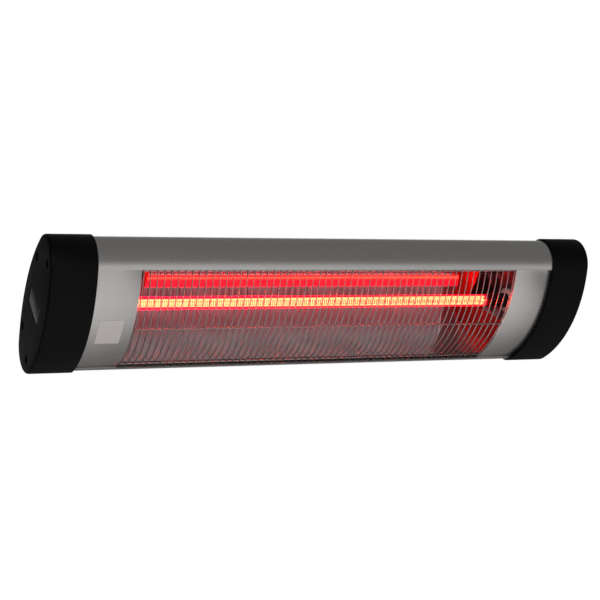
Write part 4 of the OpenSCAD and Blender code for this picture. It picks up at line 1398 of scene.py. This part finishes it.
@dataclass
class Studio:
    """The camera, the lamps, the pale floor and the white surroundings."""

    camera_place: tuple[float, float, float] = (-0.7247422, -1.6121254, -0.0073967)
    right: tuple[float, float, float] = (0.90683737, -0.42146583, -0.00354143)
    down: tuple[float, float, float] = (-0.00802646, -0.0088679, -0.99992847)
    ahead: tuple[float, float, float] = (0.42140428, 0.90680092, -0.01142462)
    lens: float = 91.332
    room: tuple[tuple[float, float], ...] = (
        (0.0, 0.85), (0.3, 0.85), (0.375, 0.80), (0.475, 0.42), (0.555, 0.22), (0.67, 0.20),
        (0.8, 0.21), (1.0, 0.20))
    sides: tuple[tuple[float, float], ...] = ((0.25, 0.1), (0.5, 1.0), (0.65, 1.0), (0.8, 0.95))
    floor_height: float = -1.6
    floor_size: float = 8.0

    def camera(self) -> None:
        """Sets the camera where the photograph's stood."""
        data = bpy.data.cameras.new("camera")
        data.lens = self.lens
        data.sensor_width = 36.0
        data.clip_end = 50.0
        obj = bpy.data.objects.new("camera", data)
        bpy.context.scene.collection.objects.link(obj)
        turned = Matrix((self.right, [-v for v in self.down], [-v for v in self.ahead])).transposed()
        obj.matrix_world = Matrix.Translation(self.camera_place) @ turned.to_4x4()
        bpy.context.scene.camera = obj

    def lamp(self, name: str, place: Sequence[float], target: Sequence[float],
             size: tuple[float, float], power: float) -> None:
        """Hangs a soft lamp.

        Args:
            name: Its name.
            place: Where it hangs.
            target: What it points at.
            size: Its width and height.
            power: Its power in watts.
        """
        data = bpy.data.lights.new(name, "AREA")
        data.shape = "RECTANGLE"
        data.size, data.size_y = size
        data.energy = power
        obj = bpy.data.objects.new(name, data)
        aim = Vector(target) - Vector(place)
        obj.matrix_world = (
            Matrix.Translation(place) @ aim.to_track_quat("-Z", "Y").to_matrix().to_4x4())
        bpy.context.scene.collection.objects.link(obj)

    def surroundings(self) -> None:
        """Makes the room: white behind the heater, dim in front of it and above."""
        world = bpy.data.worlds.new("studio")
        bpy.context.scene.world = world
        world.use_nodes = True
        tree = world.node_tree
        tree.nodes.clear()
        place = add_node(tree, "ShaderNodeTexCoord")
        parts = add_node(tree, "ShaderNodeSeparateXYZ", None, {0: place.outputs["Generated"]})
        # by height: pale below, darker above eye level
        rise = add_node(tree, "ShaderNodeMapRange",
                        {"From Min": -1.0, "From Max": 1.0, "To Min": 0.0, "To Max": 1.0},
                        {"Value": parts.outputs["Z"]})
        shade = add_node(tree, "ShaderNodeValToRGB", None, {0: rise.outputs[0]})
        self.spread(shade, self.room)
        # and by side: dim on the left, a little dimmer on the far right
        across = add_node(tree, "ShaderNodeMapRange",
                          {"From Min": -1.0, "From Max": 1.0, "To Min": 0.0, "To Max": 1.0},
                          {"Value": parts.outputs["X"]})
        aside = add_node(tree, "ShaderNodeValToRGB", None, {0: across.outputs[0]})
        self.spread(aside, self.sides)
        room = add_node(tree, "ShaderNodeMath", {"operation": "MULTIPLY"},
                        {0: shade.outputs[0], 1: aside.outputs[0]})
        # the white backdrop, which metal and glass show where it stands
        facing = add_node(tree, "ShaderNodeVectorMath",
                          {"operation": "DOT_PRODUCT", 1: (0.42, 0.907, 0.0)},
                          {0: place.outputs["Generated"]})
        behind = add_node(
            tree, "ShaderNodeMapRange",
            {"From Min": 0.88, "From Max": 0.97, "To Min": 0.0, "To Max": 1.0},
            {"Value": facing.outputs["Value"]})
        path = add_node(tree, "ShaderNodeLightPath")
        mirrored_ray = add_node(
            tree, "ShaderNodeMath", {"operation": "MAXIMUM"},
            {0: path.outputs["Is Glossy Ray"], 1: path.outputs["Is Transmission Ray"]})
        shown = add_node(tree, "ShaderNodeMath", {"operation": "MULTIPLY"},
                         {0: mirrored_ray.outputs[0], 1: behind.outputs[0]})
        white = add_node(tree, "ShaderNodeMath", {"operation": "MAXIMUM"},
                         {0: path.outputs["Is Camera Ray"], 1: shown.outputs[0]})
        level = add_node(tree, "ShaderNodeMix", {"data_type": "FLOAT", 3: 1.0},
                         {0: white.outputs[0], 2: room.outputs[0]})
        sky = add_node(tree, "ShaderNodeBackground", {"Color": (1, 1, 1, 1)},
                       {"Strength": level.outputs[0]})
        add_node(tree, "ShaderNodeOutputWorld", None, {"Surface": sky.outputs[0]})

    def spread(self, ramp: bpy.types.Node, levels: Sequence[tuple[float, float]]) -> None:
        """Sets a colour ramp to grey levels.

        Args:
            ramp: The ramp's node.
            levels: (place, level) of each stop, from 0 to 1 and in order.
        """
        stops = ramp.color_ramp.elements
        while len(stops) < len(levels):
            stops.new(0.5)
        for stop, (place, level) in zip(stops, levels):
            stop.position = place
            stop.color = (level, level, level, 1.0)

    def floor(self) -> None:
        """Lays the pale floor, which keeps the heater's shadow."""
        clear_selection()
        bpy.ops.mesh.primitive_plane_add(size=self.floor_size, location=(0, 0, self.floor_height))
        obj = bpy.context.object
        obj.name = "floor"
        made = bpy.data.materials.new("pale_floor")
        made.use_nodes = True
        tree = made.node_tree
        tree.nodes.clear()
        place = add_node(tree, "ShaderNodeTexCoord")
        noise = add_node(tree, "ShaderNodeTexNoise", {"Scale": 2.0},
                         {"Vector": place.outputs["Object"]})
        tone = add_node(tree, "ShaderNodeMix",
                        {"data_type": "RGBA", 6: linear("F4F4F4"), 7: linear("EFEFEF")},
                        {0: noise.outputs["Fac"]})
        matt = add_node(tree, "ShaderNodeBsdfDiffuse", None, {"Color": tone.outputs[2]})
        path = add_node(tree, "ShaderNodeLightPath")
        far = add_node(tree, "ShaderNodeVectorMath", {"operation": "LENGTH"},
                       {0: place.outputs["Object"]})
        fade = add_node(tree, "ShaderNodeMapRange",
                        {"From Min": 1.0, "From Max": 3.5, "To Min": 0.75, "To Max": 1.0},
                        {"Value": far.outputs["Value"]})
        lift = add_node(tree, "ShaderNodeMath", {"operation": "MULTIPLY"},
                        {0: path.outputs["Is Camera Ray"], 1: fade.outputs[0]})
        glow = add_node(tree, "ShaderNodeEmission", {"Color": (1, 1, 1, 1)},
                        {"Strength": lift.outputs[0]})
        both = add_node(tree, "ShaderNodeAddShader", None,
                        {0: matt.outputs[0], 1: glow.outputs[0]})
        add_node(tree, "ShaderNodeOutputMaterial", None, {"Surface": both.outputs[0]})
        obj.data.materials.append(made)

    def build(self) -> None:
        """Sets up the whole studio."""
        self.camera()
        self.surroundings()
        self.floor()
        self.lamp("key", (-1.3, -2.2, 0.5), (0, -0.1, -0.05), (1.2, 0.9), 20)
        self.lamp("pool", (0.3, -2.1, -0.9), (0.3, -2.1, -1.6), (3.2, 3.8), 28)
        scene = bpy.context.scene
        scene.view_settings.view_transform = "Standard"


def main() -> None:
    """Builds the heater's pieces and the studio."""
    logging.basicConfig(level=logging.INFO, format="%(name)s: %(message)s")
    shop = Assembler(Paintshop())
    for assembly in (Body(), EndCaps(), Grille(), Trough(), HeatingTube(), Fittings()):
        assembly.build(shop)
    Studio().build()


if __name__ == "__main__":
    main()
